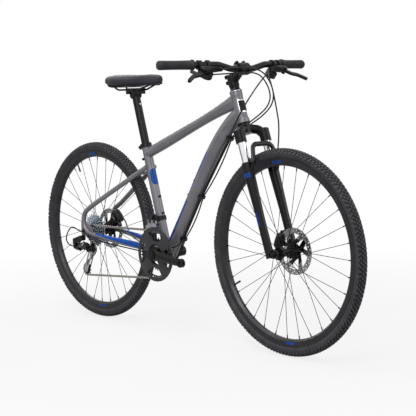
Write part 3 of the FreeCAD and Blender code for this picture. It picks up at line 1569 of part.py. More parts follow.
def make_shifter():
    """Shifter pod hung under the bar on its own clamp."""
    centre = Vector(-v.shifter_inboard, v.shifter_ahead, -v.shifter_below)
    half = v.shifter_height / 2
    pod = Part.makeCylinder(v.shifter_radius, v.shifter_height, centre - Z_AXIS * half)
    crown = Part.makeCone(v.shifter_radius, v.shifter_radius / 2, half / 2, centre + Z_AXIS * half)
    clamp = Part.makeCylinder(v.clamp_diameter / 2, v.shifter_clamp_width,
                              Vector(-v.shifter_inboard - v.shifter_clamp_width / 2, 0, 0), X_AXIS)
    neck = Part.makeBox(v.shifter_clamp_width, v.shifter_ahead, v.shifter_below,
                        Vector(centre.x - v.shifter_clamp_width / 2, 0, centre.z))
    hole = Part.makeCylinder(v.bar_diameter / 2 + v.press_gap, 4 * v.shifter_clamp_width,
                             Vector(centre.x - 2 * v.shifter_clamp_width, 0, 0), X_AXIS)
    pin = Part.makeCylinder(v.lever_pin_diameter / 2, v.thumb_thickness + v.seat_gap,
                            centre - Z_AXIS * (half + v.thumb_thickness + v.seat_gap))
    return largest(pod.fuse([crown, clamp, neck]).cut(hole).fuse(pin).removeSplitter())


def make_thumb_lever():
    """Thumb paddle that turns on the pin under the shifter pod."""
    centre = Vector(-v.shifter_inboard, v.shifter_ahead, 0)
    turn = math.radians(v.thumb_angle)
    tip = centre + Vector(math.sin(turn), math.cos(turn), 0) * v.thumb_length
    blade = taper_bar(centre, v.thumb_root_radius, tip, v.thumb_tip_radius, v.thumb_thickness)
    hole = Part.makeCylinder(v.lever_pin_diameter / 2 + v.running_gap, v.thumb_thickness, centre)
    blade = blade.cut(hole)
    low = -v.shifter_below - v.shifter_height / 2 - v.seat_gap - v.thumb_thickness
    blade.Placement = Placement(Vector(0, 0, low), Rotation())
    return largest(blade)


def both_sides(shape):
    """The right-hand shape in its place, and its mirror image on the left."""
    placed = shape.copy()
    placed.Placement = lever_place.multiply(placed.Placement)
    return placed, mirrored(placed)


node(make_headset_stack(), "headset_spacers")
stem_piece, faceplate_piece = make_stem()
node(stem_piece, "stem")
node(faceplate_piece, "stem_faceplate")
node(make_handlebar(), "handlebar")
node(make_grips(), "grips")
node(feature("brake_lever_brackets", Part.makeCompound(both_sides(make_lever_bracket()))), "brake_lever_brackets")
node(feature("shifter_pods", Part.makeCompound(both_sides(make_shifter()))), "shifter_pods")
for hand, blade in zip(("right", "left"), both_sides(make_lever_blade())):
    node(feature(hand + "_brake_lever", blade), hand + "_brake_lever")
for hand, paddle in zip(("right", "left"), both_sides(make_thumb_lever())):
    node(feature(hand + "_shift_lever", paddle), hand + "_shift_lever")

COG_COUNTS = [11, 13, 15, 18, 21, 24, 28, 32]


def pitch_radius(count):
    """Radius of the circle through the rollers on a toothed wheel."""
    return d.chain_pitch / (2 * math.sin(math.pi / count))


def level(place, height):
    """A placement moved along its own axis."""
    return place.multiply(Placement(Vector(0, 0, float(height)), Rotation()))


def sprocket(label, count, bore, thickness, place, phase):
    """A toothed wheel: roller seats and flared gaps cut round the rim of a disc."""
    rollers = pitch_radius(count)
    tip = rollers + d.tooth_height
    turned_place = place.multiply(Placement(Vector(0, 0, 0), Rotation(Z_AXIS, phase)))
    body = disc(label, [tip, bore], thickness, turned_place)
    seat_size = d.roller_diameter / 2 + d.roller_gap
    root = seat_size * d.seat_flare_share
    wide = tip * math.sin(math.pi / count) - d.tooth_tip / 2
    far = tip + d.cut_overrun

    def gap(sketch):
        outline(sketch, [(rollers, -root), (tip, -wide), (far, -wide), (far, wide), (tip, wide), (rollers, root)])

    pocket_ring(body, label + "_seat", count, lambda sketch: circle(sketch, rollers, 0, seat_size))
    pocket_ring(body, label + "_gap", count, gap)
    return body


def tangent(first, second):
    """Touch points of the straight run that leaves one wrapped circle and joins the next."""
    centre, radius, turn = first
    next_centre, next_radius, next_turn = second
    gap = next_centre - centre
    lean = math.asin((next_turn * next_radius - turn * radius) / gap.Length)
    heading = math.atan2(gap.z, gap.x) - lean
    side = Vector(math.sin(heading), 0, -math.cos(heading))
    return centre + side * (turn * radius), next_centre + side * (next_turn * next_radius)


def chain_runs(circles):
    """Wraps and straight runs of the chain line, in order."""
    count = len(circles)
    touch = [tangent(circles[i], circles[(i + 1) % count]) for i in range(count)]
    runs = []
    for i, (centre, radius, turn) in enumerate(circles):
        arrive = touch[i - 1][1] - centre
        leave = touch[i][0] - centre
        start = math.atan2(arrive.z, arrive.x)
        finish = math.atan2(leave.z, leave.x)
        wrap = (turn * (finish - start)) % (2 * math.pi)
        runs.append((radius * wrap, centre, radius, start, turn))
        runs.append(((touch[i][1] - touch[i][0]).Length, touch[i][0], touch[i][1]))
    return runs


def chain_point(runs, place):
    """The point at a distance along the chain line."""
    place = place % sum(run[0] for run in runs)
    for run in runs:
        if place <= run[0]:
            break
        place -= run[0]
    if len(run) == 3:
        length, start, finish = run
        return start + (finish - start) * (place / length)
    length, centre, radius, start, turn = run
    angle = start + turn * place / radius
    return centre + Vector(math.cos(angle), 0, math.sin(angle)) * radius


def chain_walk(runs, count):
    """Roller places one pitch apart, and how far the last falls beyond the first."""
    place = 0
    points = []
    for _ in range(count):
        here = chain_point(runs, place)
        points.append(here)
        low = place + v.chain_pitch
        high = low + v.chain_pitch / count
        while high - low > v.outline_tolerance:
            middle = (low + high) / 2
            near = chain_point(runs, middle).distanceToPoint(here) < v.chain_pitch
            low, high = (middle, high) if near else (low, middle)
        place = (low + high) / 2
    return points, place - sum(run[0] for run in runs)


guide_centre = rear_axle + Vector(v.guide_pulley_ahead, 0, -v.guide_pulley_down)


def tension_centre(angle):
    """Centre of the lower pulley when the cage stands at an angle."""
    turn = math.radians(angle)
    return guide_centre + Vector(math.cos(turn), 0, math.sin(turn)) * v.cage_length


def chain_circles(angle):
    """The four wrapped circles: cog, large ring, tension pulley and guide pulley."""
    pulley = float(pitch_radius(v.pulley_count))
    return [
        (rear_axle, float(pitch_radius(COG_COUNTS[0])), -1),
        (bracket, float(pitch_radius(v.large_ring_count)), -1),
        (tension_centre(angle), pulley, -1),
        (guide_centre, pulley, 1),
    ]


def solve_chain():
    """The cage angle at which a whole, even number of links closes the loop."""
    runs = chain_runs(chain_circles(v.cage_rest_angle))
    length = sum(run[0] for run in runs)
    count = 2 * round(length / v.chain_pitch / 2)
    low = v.cage_rest_angle - v.cage_angle_search
    high = v.cage_rest_angle + v.cage_angle_search
    low_error = chain_walk(chain_runs(chain_circles(low)), count)[1]
    while high - low > v.outline_tolerance:
        middle = (low + high) / 2
        error = chain_walk(chain_runs(chain_circles(middle)), count)[1]
        low, high = (middle, high) if error * low_error > 0 else (low, middle)
    points, error = chain_walk(chain_runs(chain_circles(low)), count)
    print(f"chain: {count} links, cage at {low:.3f} degrees, closing error {error:.4f} mm")
    return low, points


cage_angle, roller_places = solve_chain()
tension_place = tension_centre(cage_angle)


def roller_phase(centre, radius):
    """Angle of a roller that rests on a wrapped circle, in the wheel's own plane."""
    landed = [p - centre for p in roller_places if abs(p.distanceToPoint(centre) - radius) < v.roller_gap / 2]
    middle = landed[len(landed) // 2]
    return -math.degrees(math.atan2(middle.z, middle.x))


def make_chain():
    """The whole chain: outer links with their pins, and bushed inner links, laid on the rollers."""
    reach = Vector(v.chain_pitch, 0, 0)
    start = Vector(0, 0, 0)
    half = v.chain_inner_width / 2
    outer_low = half + v.chain_plate + v.chain_plate_gap
    radius = v.chain_plate_radius
    waist = Part.makeBox(v.chain_pitch, v.chain_waist, v.chain_plate, Vector(0, -v.chain_waist / 2, 0))
    side = waist.fuse([Part.makeCylinder(radius, v.chain_plate, p) for p in (start, reach)]).removeSplitter()
    pin_half = outer_low + v.chain_plate
    pins = [Part.makeCylinder(v.chain_pin_diameter / 2, 2 * pin_half, p - Z_AXIS * pin_half) for p in (start, reach)]
    sides = [side.translated(Z_AXIS * outer_low), side.translated(Z_AXIS * -pin_half)]
    outer_link = pins[0].fuse([pins[1]] + sides)
    inner_half = half + v.chain_plate
    inner_sides = [side.translated(Z_AXIS * half), side.translated(Z_AXIS * -inner_half)]
    rollers = [Part.makeCylinder(v.roller_diameter / 2, 2 * half, p - Z_AXIS * half) for p in (start, reach)]
    bores = [Part.makeCylinder(v.chain_pin_diameter / 2 + v.chain_pin_gap, 2 * inner_half, p - Z_AXIS * inner_half)
             for p in (start, reach)]
    inner_link = rollers[0].fuse([rollers[1]] + inner_sides).cut(bores)
    links = []
    for i, here in enumerate(roller_places):
        ahead = unit(roller_places[(i + 1) % len(roller_places)] - here)
        turn = Rotation(ahead, Y_AXIS.cross(ahead), Y_AXIS, "ZXY")
        link = (outer_link if i % 2 else inner_link).copy()
        link.Placement = Placement(here - Y_AXIS * v.chain_line, turn)
        links.append(link)
    return feature("chain", Part.makeCompound(links))


def make_cassette():
    """Eight cogs with spacers on a turning spool, held by a lockring."""
    spool = d.spool_diameter / 2
    bore = spool + d.press_gap
    outer = d.chain_line + d.cog_thickness / 2
    depth = outer + d.seat_gap - d.rear_hub_right - d.seat_gap * 2
    pieces = [disc("cassette_spool", [spool, d.axle_diameter / 2 + d.running_gap], depth, level(rear_wheel, -outer))]
    first_phase = roller_phase(rear_axle, float(pitch_radius(COG_COUNTS[0])))
    for i, count in enumerate(COG_COUNTS):
        foot = d.cog_pitch * i - outer
        pieces.append(sprocket(f"cog_{count}", count, bore, d.cog_thickness, level(rear_wheel, foot), first_phase))
        if i < len(COG_COUNTS) - 1:
            pieces.append(disc(f"cog_spacer_{i}", [d.spacer_ring_diameter / 2, bore], d.cog_pitch - d.cog_thickness,
                               level(rear_wheel, foot + d.cog_thickness)))
    pieces.append(disc("lockring", [d.lockring_diameter / 2, d.axle_diameter / 2 + d.running_gap],
                       d.lockring_thickness, level(rear_wheel, -outer - d.lockring_thickness)))
    return compound("cassette", pieces)


def ring_window(near, far, offset):
    """Draws one opening between two spider arms, turned by an offset."""
    span = math.pi / v.spider_count
    inner = span / 2
    outer = span * 2 / 3

    def draw(sketch):
        turns = [(near, -inner), (near, inner), (far, outer), (far, outer / 3), (far, -outer / 3), (far, -outer)]
        outline(sketch, [(r * math.cos(a + offset), r * math.sin(a + offset)) for r, a in turns])

    return draw


crank_place = crank.multiply(Placement(Vector(0, 0, 0), Rotation(Z_AXIS, v.crank_rest_angle)))
left_crank_place = crank.multiply(Placement(Vector(0, 0, 0), Rotation(Z_AXIS, v.crank_rest_angle + 2 * RIGHT_ANGLE)))
ring_outer = v.chain_line + v.ring_thickness / 2
spider_outer = ring_outer + v.press_gap + v.spider_thickness
guard_outer = spider_outer + v.press_gap + v.guard_thickness


def spoke_points():
    """Bolt places of the spider, turned halfway between the crank and the next arm."""
    points = []
    for i in range(int(v.spider_count)):
        angle = 2 * math.pi * (i + 1 / 2) / v.spider_count
        points.append(Vector(math.cos(angle), math.sin(angle), 0) * v.ring_bolt_radius)
    return points


def crank_arm(boss_inner, boss_outer):
    """A crank from its boss at the spindle to the pedal eye; sizes measured outward along Z."""
    middle = boss_outer - v.crank_boss_length / 2
    end_middle = v.crank_end_outer - v.crank_end_thickness / 2
    eye = Vector(v.crank_length, 0, 0)
    boss = Part.makeCylinder(v.crank_boss_radius, boss_outer - boss_inner, Vector(0, 0, boss_inner))
    end = Part.makeCylinder(v.crank_end_radius, v.crank_end_thickness, eye + Z_AXIS * (end_middle - v.crank_end_thickness / 2))
    bar = oval_loft([
        (Vector(0, 0, middle), X_AXIS, v.crank_root_depth, v.crank_bar_width),
        (eye / 3 + Z_AXIS * (middle + (end_middle - middle) / 3), X_AXIS, v.crank_waist_depth, v.crank_bar_width),
        (eye + Z_AXIS * end_middle, X_AXIS, v.crank_tip_depth, v.crank_bar_width - 2 * v.seat_gap),
    ], Y_AXIS)
    hole = Part.makeCylinder(v.pedal_thread_diameter / 2, 2 * v.crank_end_thickness,
                             eye + Z_AXIS * (end_middle - v.crank_end_thickness))
    depth = boss_outer - v.spindle_inset - boss_inner
    socket = Part.makeCylinder(v.spindle_diameter / 2 + v.press_gap, depth + v.cut_overrun,
                               Vector(0, 0, boss_inner - v.cut_overrun))
    return boss.fuse([end, bar]).cut([hole, socket])


def make_right_crank():
    """Right crank with the four-armed spider that carries the rings."""
    arm = crank_arm(ring_outer + v.press_gap, v.crank_outer)
    arms = []
    for point in spoke_points():
        bar = taper_bar(Vector(0, 0, 0), v.spider_root_radius, point, v.spider_tip_radius, v.spider_thickness)
        arms.append(bar.translated(Z_AXIS * (ring_outer + v.press_gap)))
    socket = Part.makeCylinder(v.spindle_diameter / 2 + v.press_gap, ring_outer + v.spider_thickness * 2)
    solid = largest(arm.fuse(arms).cut(socket))
    return feature("right_crank_arm", solid.mirror(Vector(0, 0, 0), Z_AXIS), crank_place)


def make_left_crank():
    """Left crank, opposite the right one."""
    arm = crank_arm(v.left_crank_outer - v.crank_boss_length, v.left_crank_outer)
    return feature("left_crank_arm", largest(arm), left_crank_place)


def make_spindle():
    """The spindle that joins the two cranks through the bottom bracket."""
    right = d.crank_outer - d.spindle_inset - d.seat_gap
    length = right + d.left_crank_outer - d.spindle_inset - d.seat_gap
    return disc("crank_spindle", [d.spindle_diameter / 2], length, level(crank_place, -right))


def make_bracket_cups():
    """Bearing cups in both ends of the bottom bracket shell."""
    inner = d.spindle_diameter / 2 + d.running_gap
    body = d.bracket_shell_bore / 2 - d.press_gap
    edge = d.bracket_shell_width / 2
    corners = [
        (inner, edge - d.cup_body_depth),
        (body, edge - d.cup_body_depth),
        (body, edge),
        (d.cup_lip_diameter / 2, edge),
        (d.cup_lip_diameter / 2, edge + d.cup_lip_thickness),
        (inner, edge + d.cup_lip_thickness),
    ]
    other = crank.multiply(Placement(Vector(0, 0, 0), Rotation(X_AXIS, 2 * RIGHT_ANGLE)))
    return compound("bottom_bracket_cups", [turned("left_cup", corners, crank), turned("right_cup", corners, other)])


ring_phase = roller_phase(bracket, float(pitch_radius(v.large_ring_count)))


def make_large_ring():
    """Large chainring with openings between the spider arms."""
    foot = -(d.chain_line + d.ring_thickness / 2)
    body = sprocket("large_chainring", v.large_ring_count, d.ring_bore_diameter / 2, d.ring_thickness,
                    level(crank, foot), ring_phase)
    offset = math.radians(v.crank_rest_angle - ring_phase)
    pocket_ring(body, "large_chainring_window", v.spider_count,
                ring_window(d.ring_window_inner, d.ring_window_outer, offset))
    return body


def make_small_ring():
    """Small chainring with four lugs that stand against the large one."""
    foot = -(d.chain_line - d.ring_spacing + d.ring_thickness / 2)
    ring = sprocket("small_chainring_disc", v.small_ring_count, d.ring_bore_diameter / 2, d.ring_thickness,
                    level(crank_place, foot), 0)
    depth = d.ring_spacing - d.ring_thickness - d.press_gap
    pieces = [ring]
    for i, point in enumerate(spoke_points()):
        lug_place = level(crank_place, foot - depth).multiply(Placement(point, Rotation()))
        pieces.append(disc(f"ring_lug_{i}", [d.ring_lug_radius], depth, lug_place))
    whole = doc.addObject("Part::MultiFuse", "small_chainring")
    whole.Shapes = pieces
    return whole


def make_guard():
    """Chain guard ring with openings, outside the spider."""
    outer = d.chain_line + d.ring_thickness / 2 + d.press_gap * 2 + d.spider_thickness + d.guard_thickness
    body = disc("chainring_guard", [d.guard_diameter / 2, d.ring_bore_diameter / 2], d.guard_thickness,
                level(crank_place, -outer))
    pocket_ring(body, "guard_window", v.spider_count, ring_window(d.ring_window_inner, d.guard_window_outer, 0))
    return body


def sector(inner, outer, start, finish, thickness):
    """A flat ring section in the XY plane between two angles."""
    def at(radius, degrees):
        turn = math.radians(degrees)
        return Vector(math.cos(turn), math.sin(turn), 0) * radius

    middle = (start + finish) / 2
    edges = [
        Part.Arc(at(outer, start), at(outer, middle), at(outer, finish)).toShape(),
        Part.LineSegment(at(outer, finish), at(inner, finish)).toShape(),
        Part.Arc(at(inner, finish), at(inner, middle), at(inner, start)).toShape(),
        Part.LineSegment(at(inner, start), at(outer, start)).toShape(),
    ]
    return Part.Face(Part.Wire(edges)).extrude(Vector(0, 0, thickness))


across_turn = Rotation(Y_AXIS, Z_AXIS, X_AXIS, "ZXY")
swing_middle = bracket.x - (v.shift_clamp_height - bracket.z) / math.tan(math.radians(v.seat_angle))
swing_pivot = Vector(-v.swing_out, v.shift_clamp_height + v.swing_rise, 0)
guide_pivot = Vector(-v.guide_out, swing_pivot.y - v.guide_pivot_drop, 0)


def across(shape, low):
    """A flat shape drawn in Y and Z, raised from a place along X."""
    placed = shape.copy()
    placed.Placement = Placement(Vector(low, 0, 0), across_turn).multiply(shape.Placement)
    return placed


def swing_ears(pivot, pivot_radius, foot, foot_radius):
    """Two ears and the pin between them, either side of the swinging link."""
    ear = taper_bar(pivot, pivot_radius, foot, foot_radius, v.swing_ear)
    half = v.swing_width / 2 + v.seat_gap
    pin = Part.makeCylinder(v.pivot_pin_diameter / 2, 2 * (half + v.swing_ear), pivot)
    return [across(ear, swing_middle - half - v.swing_ear), across(ear, swing_middle + half),
            across(pin, swing_middle - half - v.swing_ear)]


def make_shift_clamp():
    """Band round the seat tube that carries the front derailleur."""
    inner = v.seat_tube_diameter / 2 + v.press_gap
    outer = inner + v.shift_clamp_wall
    height = (v.shift_clamp_height - bracket.z) / math.sin(math.radians(v.seat_angle))
    low = Vector(0, 0, height - v.shift_clamp_length / 2)
    band = Part.makeCylinder(outer, v.shift_clamp_length, low)
    band.Placement = seat
    hole = Part.makeCylinder(inner, v.shift_clamp_length * 3, low - Z_AXIS * v.shift_clamp_length)
    hole.Placement = seat
    foot = Vector(-inner, v.shift_clamp_height, 0)
    ears = swing_ears(swing_pivot, v.swing_radius, foot, v.swing_foot_radius)
    return feature("front_derailleur_clamp", largest(band.fuse(ears).cut(hole)))


def make_swing():
    """Link between the clamp and the front derailleur's guide."""
    bar = taper_bar(swing_pivot, v.swing_radius, guide_pivot, v.swing_radius * (1 - v.outline_tolerance), v.swing_width)
    bores = [Part.makeCylinder(v.pivot_pin_diameter / 2 + v.running_gap, v.swing_width, p)
             for p in (swing_pivot, guide_pivot)]
    return feature("front_derailleur_link", across(bar.cut(bores), swing_middle - v.swing_width / 2))


def make_guide():
    """The front derailleur's guide: two curved plates joined over the chain."""
    plane = -v.chain_line
    inner_face = plane + v.guide_side_room
    outer_face = plane - v.guide_side_room
    start = -v.guide_rear_angle
    finish = -v.guide_front_angle
    inner = sector(v.guide_inner_radius, v.guide_outer_radius, start, finish, v.guide_plate)
    outer = sector(v.guide_outer_low, v.guide_outer_radius, start, finish, v.guide_plate)
    roof_depth = inner_face - outer_face
    roof = sector(v.guide_outer_radius - v.guide_plate, v.guide_outer_radius, start, finish, roof_depth)
    rear = math.radians(start) + v.guide_spacer_radius * 2 / v.guide_outer_radius
    spacer_reach = (v.guide_outer_low + v.guide_outer_radius) / 2
    spacer = Part.makeCylinder(v.guide_spacer_radius, roof_depth,
                               Vector(math.cos(rear), math.sin(rear), 0) * spacer_reach + Z_AXIS * outer_face)
    sheet_parts = [inner.translated(Z_AXIS * inner_face), outer.translated(Z_AXIS * (outer_face - v.guide_plate)),
                   roof.translated(Z_AXIS * outer_face), spacer]
    for part in sheet_parts:
        part.Placement = crank.multiply(part.Placement)
    foot = guide_pivot - Y_AXIS * v.guide_ear_drop
    ears = swing_ears(guide_pivot, v.swing_radius, foot, v.guide_foot_radius)
    return feature("front_derailleur_cage", largest(sheet_parts[0].fuse(sheet_parts[1:] + ears)))


slant = math.radians(v.mech_slant_angle)
mech_turn = Rotation(X_AXIS, Vector(0, math.cos(slant), -math.sin(slant)),
                     Vector(0, math.sin(slant), math.cos(slant)), "ZXY")
mech = Placement(rear_axle + Vector(-v.mech_back, -v.mech_out, -v.mech_down), mech_turn)
link_turn = math.radians(v.mech_link_angle)
link_reach = Vector(math.cos(link_turn), -math.sin(link_turn), 0) * v.mech_link_length
outer_pivot = Vector(0, -v.mech_link_spread / 2, 0)
inner_pivot = Vector(0, v.mech_link_spread / 2, 0)


def make_mech_link(label, pivot):
    """One of the two parallel links of the rear derailleur."""
    bar = taper_bar(pivot, v.mech_link_radius, pivot + link_reach, v.mech_link_radius * (1 - v.outline_tolerance),
                    v.mech_link_height)
    bores = [Part.makeCylinder(v.pivot_pin_diameter / 2 + v.running_gap, v.mech_link_height, p)
             for p in (pivot, pivot + link_reach)]
    solid = bar.cut(bores)
    return feature(label, solid.translated(Z_AXIS * (-v.mech_link_height / 2)), mech)


def mech_cheeks(shift, ahead):
    """Two cheeks, the pins between them and the block that joins them, in the derailleur's frame."""
    first = outer_pivot + shift
    second = inner_pivot + shift
    half = v.mech_link_height / 2 + v.seat_gap
    cheek = taper_bar(first, v.mech_cheek_radius, second, v.mech_cheek_radius * (1 - v.outline_tolerance), v.mech_cheek)
    pins = [Part.makeCylinder(v.pivot_pin_diameter / 2, 2 * half, p - Z_AXIS * half) for p in (first, second)]
    near = v.mech_cheek_radius - v.mech_cheek / 2
    low = (near if ahead > 0 else -near - v.mech_block_length)
    tall = 2 * (half + v.mech_cheek)
    block = Part.makeBox(v.mech_block_length, v.mech_link_spread, tall,
                         Vector(low, -v.mech_link_spread / 2, -tall / 2) + shift)
    room_edge = v.mech_link_radius + v.moving_gap
    rooms = [Part.makeCylinder(room_edge, 2 * half, p - Z_AXIS * half) for p in (first, second)]
    bridge = Part.makeBox(v.mech_cheek_radius + v.mech_cheek, v.mech_link_spread, v.mech_cheek,
                          Vector(low if ahead < 0 else 0, -v.mech_link_spread / 2, half) + shift)
    solid = block.cut(rooms).fuse([cheek.translated(Z_AXIS * half), cheek.translated(Z_AXIS * (-half - v.mech_cheek)),
                                   bridge, bridge.translated(Z_AXIS * (-2 * half - v.mech_cheek))] + pins)
    solid.Placement = mech.multiply(solid.Placement)
    return solid


def flat_bar(start, start_radius, finish, finish_radius, low, thickness):
    """A flat bar drawn in X and Z, raised along Y from a place."""
    bar = taper_bar(Vector(start.x, -start.z, 0), start_radius, Vector(finish.x, -finish.z, 0), finish_radius, thickness)
    bar.Placement = Placement(Vector(0, low, 0), side_turn)
    return bar


def make_mech_knuckle():
    """Rear derailleur's fixed part: the hanger boss, its arm and the first pair of pins."""
    hanger = rear_axle + Vector(-v.hanger_back, 0, -v.hanger_down)
    outer_face = v.rear_hub_spacing / 2 + v.dropout_thickness
    boss = Part.makeCylinder(v.mech_boss_radius, v.mech_boss_outer - outer_face - v.seat_gap,
                             hanger - Y_AXIS * v.mech_boss_outer, Y_AXIS)
    stud = Part.makeCylinder(v.hanger_bore / 2 - v.press_gap, v.mech_boss_outer - v.rear_hub_spacing / 2,
                             hanger - Y_AXIS * v.mech_boss_outer, Y_AXIS)
    elbow = mech.Base + Vector(-v.mech_elbow_back, 0, v.mech_elbow_up)
    reach = mech.Base - X_AXIS * (v.mech_cheek_radius - v.mech_cheek / 2 + v.mech_block_length / 2)
    low = -v.mech_boss_outer + v.mech_cheek / 2
    upper = flat_bar(hanger, v.mech_boss_radius - v.seat_gap, elbow, v.mech_elbow_radius, low, v.mech_arm_thickness)
    lower = flat_bar(elbow, v.mech_elbow_radius - v.seat_gap, reach, v.mech_boss_radius - v.mech_cheek, low,
                     v.mech_arm_thickness)
    cheeks = mech_cheeks(Vector(0, 0, 0), -1)
    return feature("rear_derailleur_knuckle", largest(boss.fuse([stud, upper, lower, cheeks])))


cage_outer_face = -v.chain_line - v.cage_outer_room - v.cage_plate
knuckle_inner = cage_outer_face - v.moving_gap


def make_cage_knuckle():
    """Rear derailleur's moving knuckle: the second pair of pins and the cage bearing."""
    barrel = Part.makeCylinder(v.cage_knuckle_radius, v.cage_knuckle_length,
                               guide_centre + Y_AXIS * (knuckle_inner - v.cage_knuckle_length), Y_AXIS)
    bore = Part.makeCylinder(v.cage_stub_diameter / 2 + v.running_gap, v.cage_knuckle_length - v.mech_cheek + v.cut_overrun,
                             guide_centre + Y_AXIS * (knuckle_inner - v.cage_knuckle_length + v.mech_cheek), Y_AXIS)
    return feature("rear_derailleur_cage_knuckle", largest(mech_cheeks(link_reach, 1).fuse(barrel).cut(bore)))


def make_cage():
    """Rear derailleur cage: two plates, the pulley pins and the stub it turns on."""
    inner_low = -v.chain_line + v.cage_inner_room
    outer_low = cage_outer_face
    outer = flat_bar(guide_centre, v.cage_top_radius, tension_place, v.cage_end_radius, outer_low, v.cage_plate)
    inner = flat_bar(guide_centre, v.cage_end_radius * (1 + v.outline_tolerance), tension_place,
                     v.cage_end_radius, inner_low, v.cage_plate)
    near = guide_centre + (tension_place - guide_centre) * ((1 - v.cage_slot_share) / 2)
    far = guide_centre + (tension_place - guide_centre) * ((1 + v.cage_slot_share) / 2)
    slot = flat_bar(near, v.mech_link_radius * (1 + v.outline_tolerance), far, v.mech_link_radius,
                    outer_low - v.cut_overrun, 2 * v.chain_line)
    top = inner_low + v.cage_plate
    pins = [Part.makeCylinder(v.pivot_pin_diameter / 2, top - outer_low, p + Y_AXIS * outer_low, Y_AXIS)
            for p in (guide_centre, tension_place)]
    stub_length = v.cage_knuckle_length - v.mech_cheek - v.seat_gap
    stub = Part.makeCylinder(v.cage_stub_diameter / 2, stub_length + v.moving_gap,
                             guide_centre + Y_AXIS * (outer_low - stub_length - v.moving_gap), Y_AXIS)
    solid = outer.fuse(inner).cut(slot).fuse(pins + [stub])
    return feature("rear_derailleur_cage", largest(solid))


def make_pulley(label, centre):
    """A toothed pulley with a bushed hub."""
    place = Placement(centre - Y_AXIS * v.chain_line, side_turn)
    bore = d.pivot_pin_diameter / 2 + d.running_gap
    rim = sprocket(label + "_rim", v.pulley_count, bore, d.ring_thickness, level(place, -d.ring_thickness / 2),
                   roller_phase(centre, float(pitch_radius(v.pulley_count))))
    hub = disc(label + "_hub", [d.pulley_hub_diameter / 2, bore], d.pulley_hub_length,
               level(place, -d.pulley_hub_length / 2))
    whole = doc.addObject("Part::MultiFuse", label)
    whole.Shapes = [rim, hub]
    return whole


node(make_bracket_cups(), "bottom_bracket_cups")
node(make_spindle(), "crank_spindle")
node(make_right_crank(), "right_crank_arm")
node(make_left_crank(), "left_crank_arm")
node(make_large_ring(), "large_chainring")
node(make_small_ring(), "small_chainring")
node(make_guard(), "chainring_guard")
node(make_chain(), "chain")
node(make_cassette(), "cassette")
node(make_shift_clamp(), "front_derailleur_clamp")
node(make_swing(), "front_derailleur_link")
node(make_guide(), "front_derailleur_cage")
node(make_mech_knuckle(), "rear_derailleur_knuckle")
node(make_mech_link("rear_derailleur_outer_link", outer_pivot), "rear_derailleur_outer_link")
node(make_mech_link("rear_derailleur_inner_link", inner_pivot), "rear_derailleur_inner_link")
node(make_cage_knuckle(), "rear_derailleur_cage_knuckle")
node(make_cage(), "rear_derailleur_cage")
node(make_pulley("guide_pulley", guide_centre), "guide_pulley")
node(make_pulley("tension_pulley", tension_place), "tension_pulley")


def make_seat_clamp():
    """Split collar round the top of the seat tube, with its bolt at the back."""
    inner = v.seat_tube_lip / 2 + v.press_gap
    low = v.seat_tube_length - v.seat_clamp_sink
    ring = Part.makeCylinder(inner + v.seat_clamp_wall, v.seat_clamp_height, Vector(0, 0, low))
    ear = Part.makeBox(v.seat_clamp_ear + v.seat_clamp_wall, v.seat_clamp_ear_width, v.seat_clamp_height,
                       Vector(-inner - v.seat_clamp_ear - v.seat_clamp_wall, -v.seat_clamp_ear_width / 2, low))
    lip_hole = Part.makeCylinder(inner, v.seat_clamp_sink + v.cut_overrun, Vector(0, 0, low - v.cut_overrun))
    post_hole = Part.makeCylinder(v.seatpost_diameter / 2 + v.running_gap, 2 * v.seat_clamp_height, Vector(0, 0, low))
    slot = Part.makeBox(2 * inner, v.seat_clamp_slot, 2 * v.seat_clamp_height,
                        Vector(-3 * inner, -v.seat_clamp_slot / 2, low - v.seat_clamp_height / 2))
    bolt_place = Vector(-inner - v.seat_clamp_wall - v.seat_clamp_ear / 2, -v.seat_clamp_bolt_length / 2,
                        low + v.seat_clamp_height / 2)
    bolt = Part.makeCylinder(v.seat_clamp_bolt / 2, v.seat_clamp_bolt_length, bolt_place, Y_AXIS)
    solid = ring.fuse(ear).cut([lip_hole, post_hole, slot]).fuse(bolt)
    return feature("seat_clamp", largest(solid), seat)


def make_seatpost():
    """Hollow post with a cross barrel at its head."""
    low = v.seat_tube_length - v.seatpost_insert
    tube = Part.makeCylinder(v.seatpost_diameter / 2, v.seatpost_top - low, Vector(0, 0, low))
    bore = Part.makeCylinder(v.seatpost_diameter / 2 - v.seatpost_wall, v.seatpost_top - low - v.seatpost_diameter,
                             Vector(0, 0, low))
    barrel = Part.makeCylinder(v.head_barrel_diameter / 2, v.head_barrel_width,
                               Vector(0, -v.head_barrel_width / 2, v.seatpost_head), Y_AXIS)
    return feature("seatpost", largest(tube.cut(bore).fuse(barrel)), seat)


saddle_start = Vector(-v.saddle_tail, 0, v.rail_height)
SADDLE_SHARES = [
    (0.0, 0.36, 0.86, 0.66),
    (0.03, 0.74, 0.93, 0.5),
    (0.1, 0.96, 0.98, 0.32),
    (0.22, 1.0, 1.0, 0.22),
    (0.35, 0.88, 0.97, 0.25),
    (0.5, 0.6, 0.95, 0.32),
    (0.65, 0.4, 0.95, 0.36),
    (0.8, 0.3, 0.96, 0.37),
    (0.93, 0.25, 0.93, 0.37),
    (0.98, 0.19, 0.86, 0.42),
    (1.0, 0.09, 0.76, 0.54),
]
SADDLE_SECTION_SHARES = {"foot": 0.84, "side": 0.97, "waist": 0.45, "shoulder": 0.74, "shoulder_rise": 0.76}


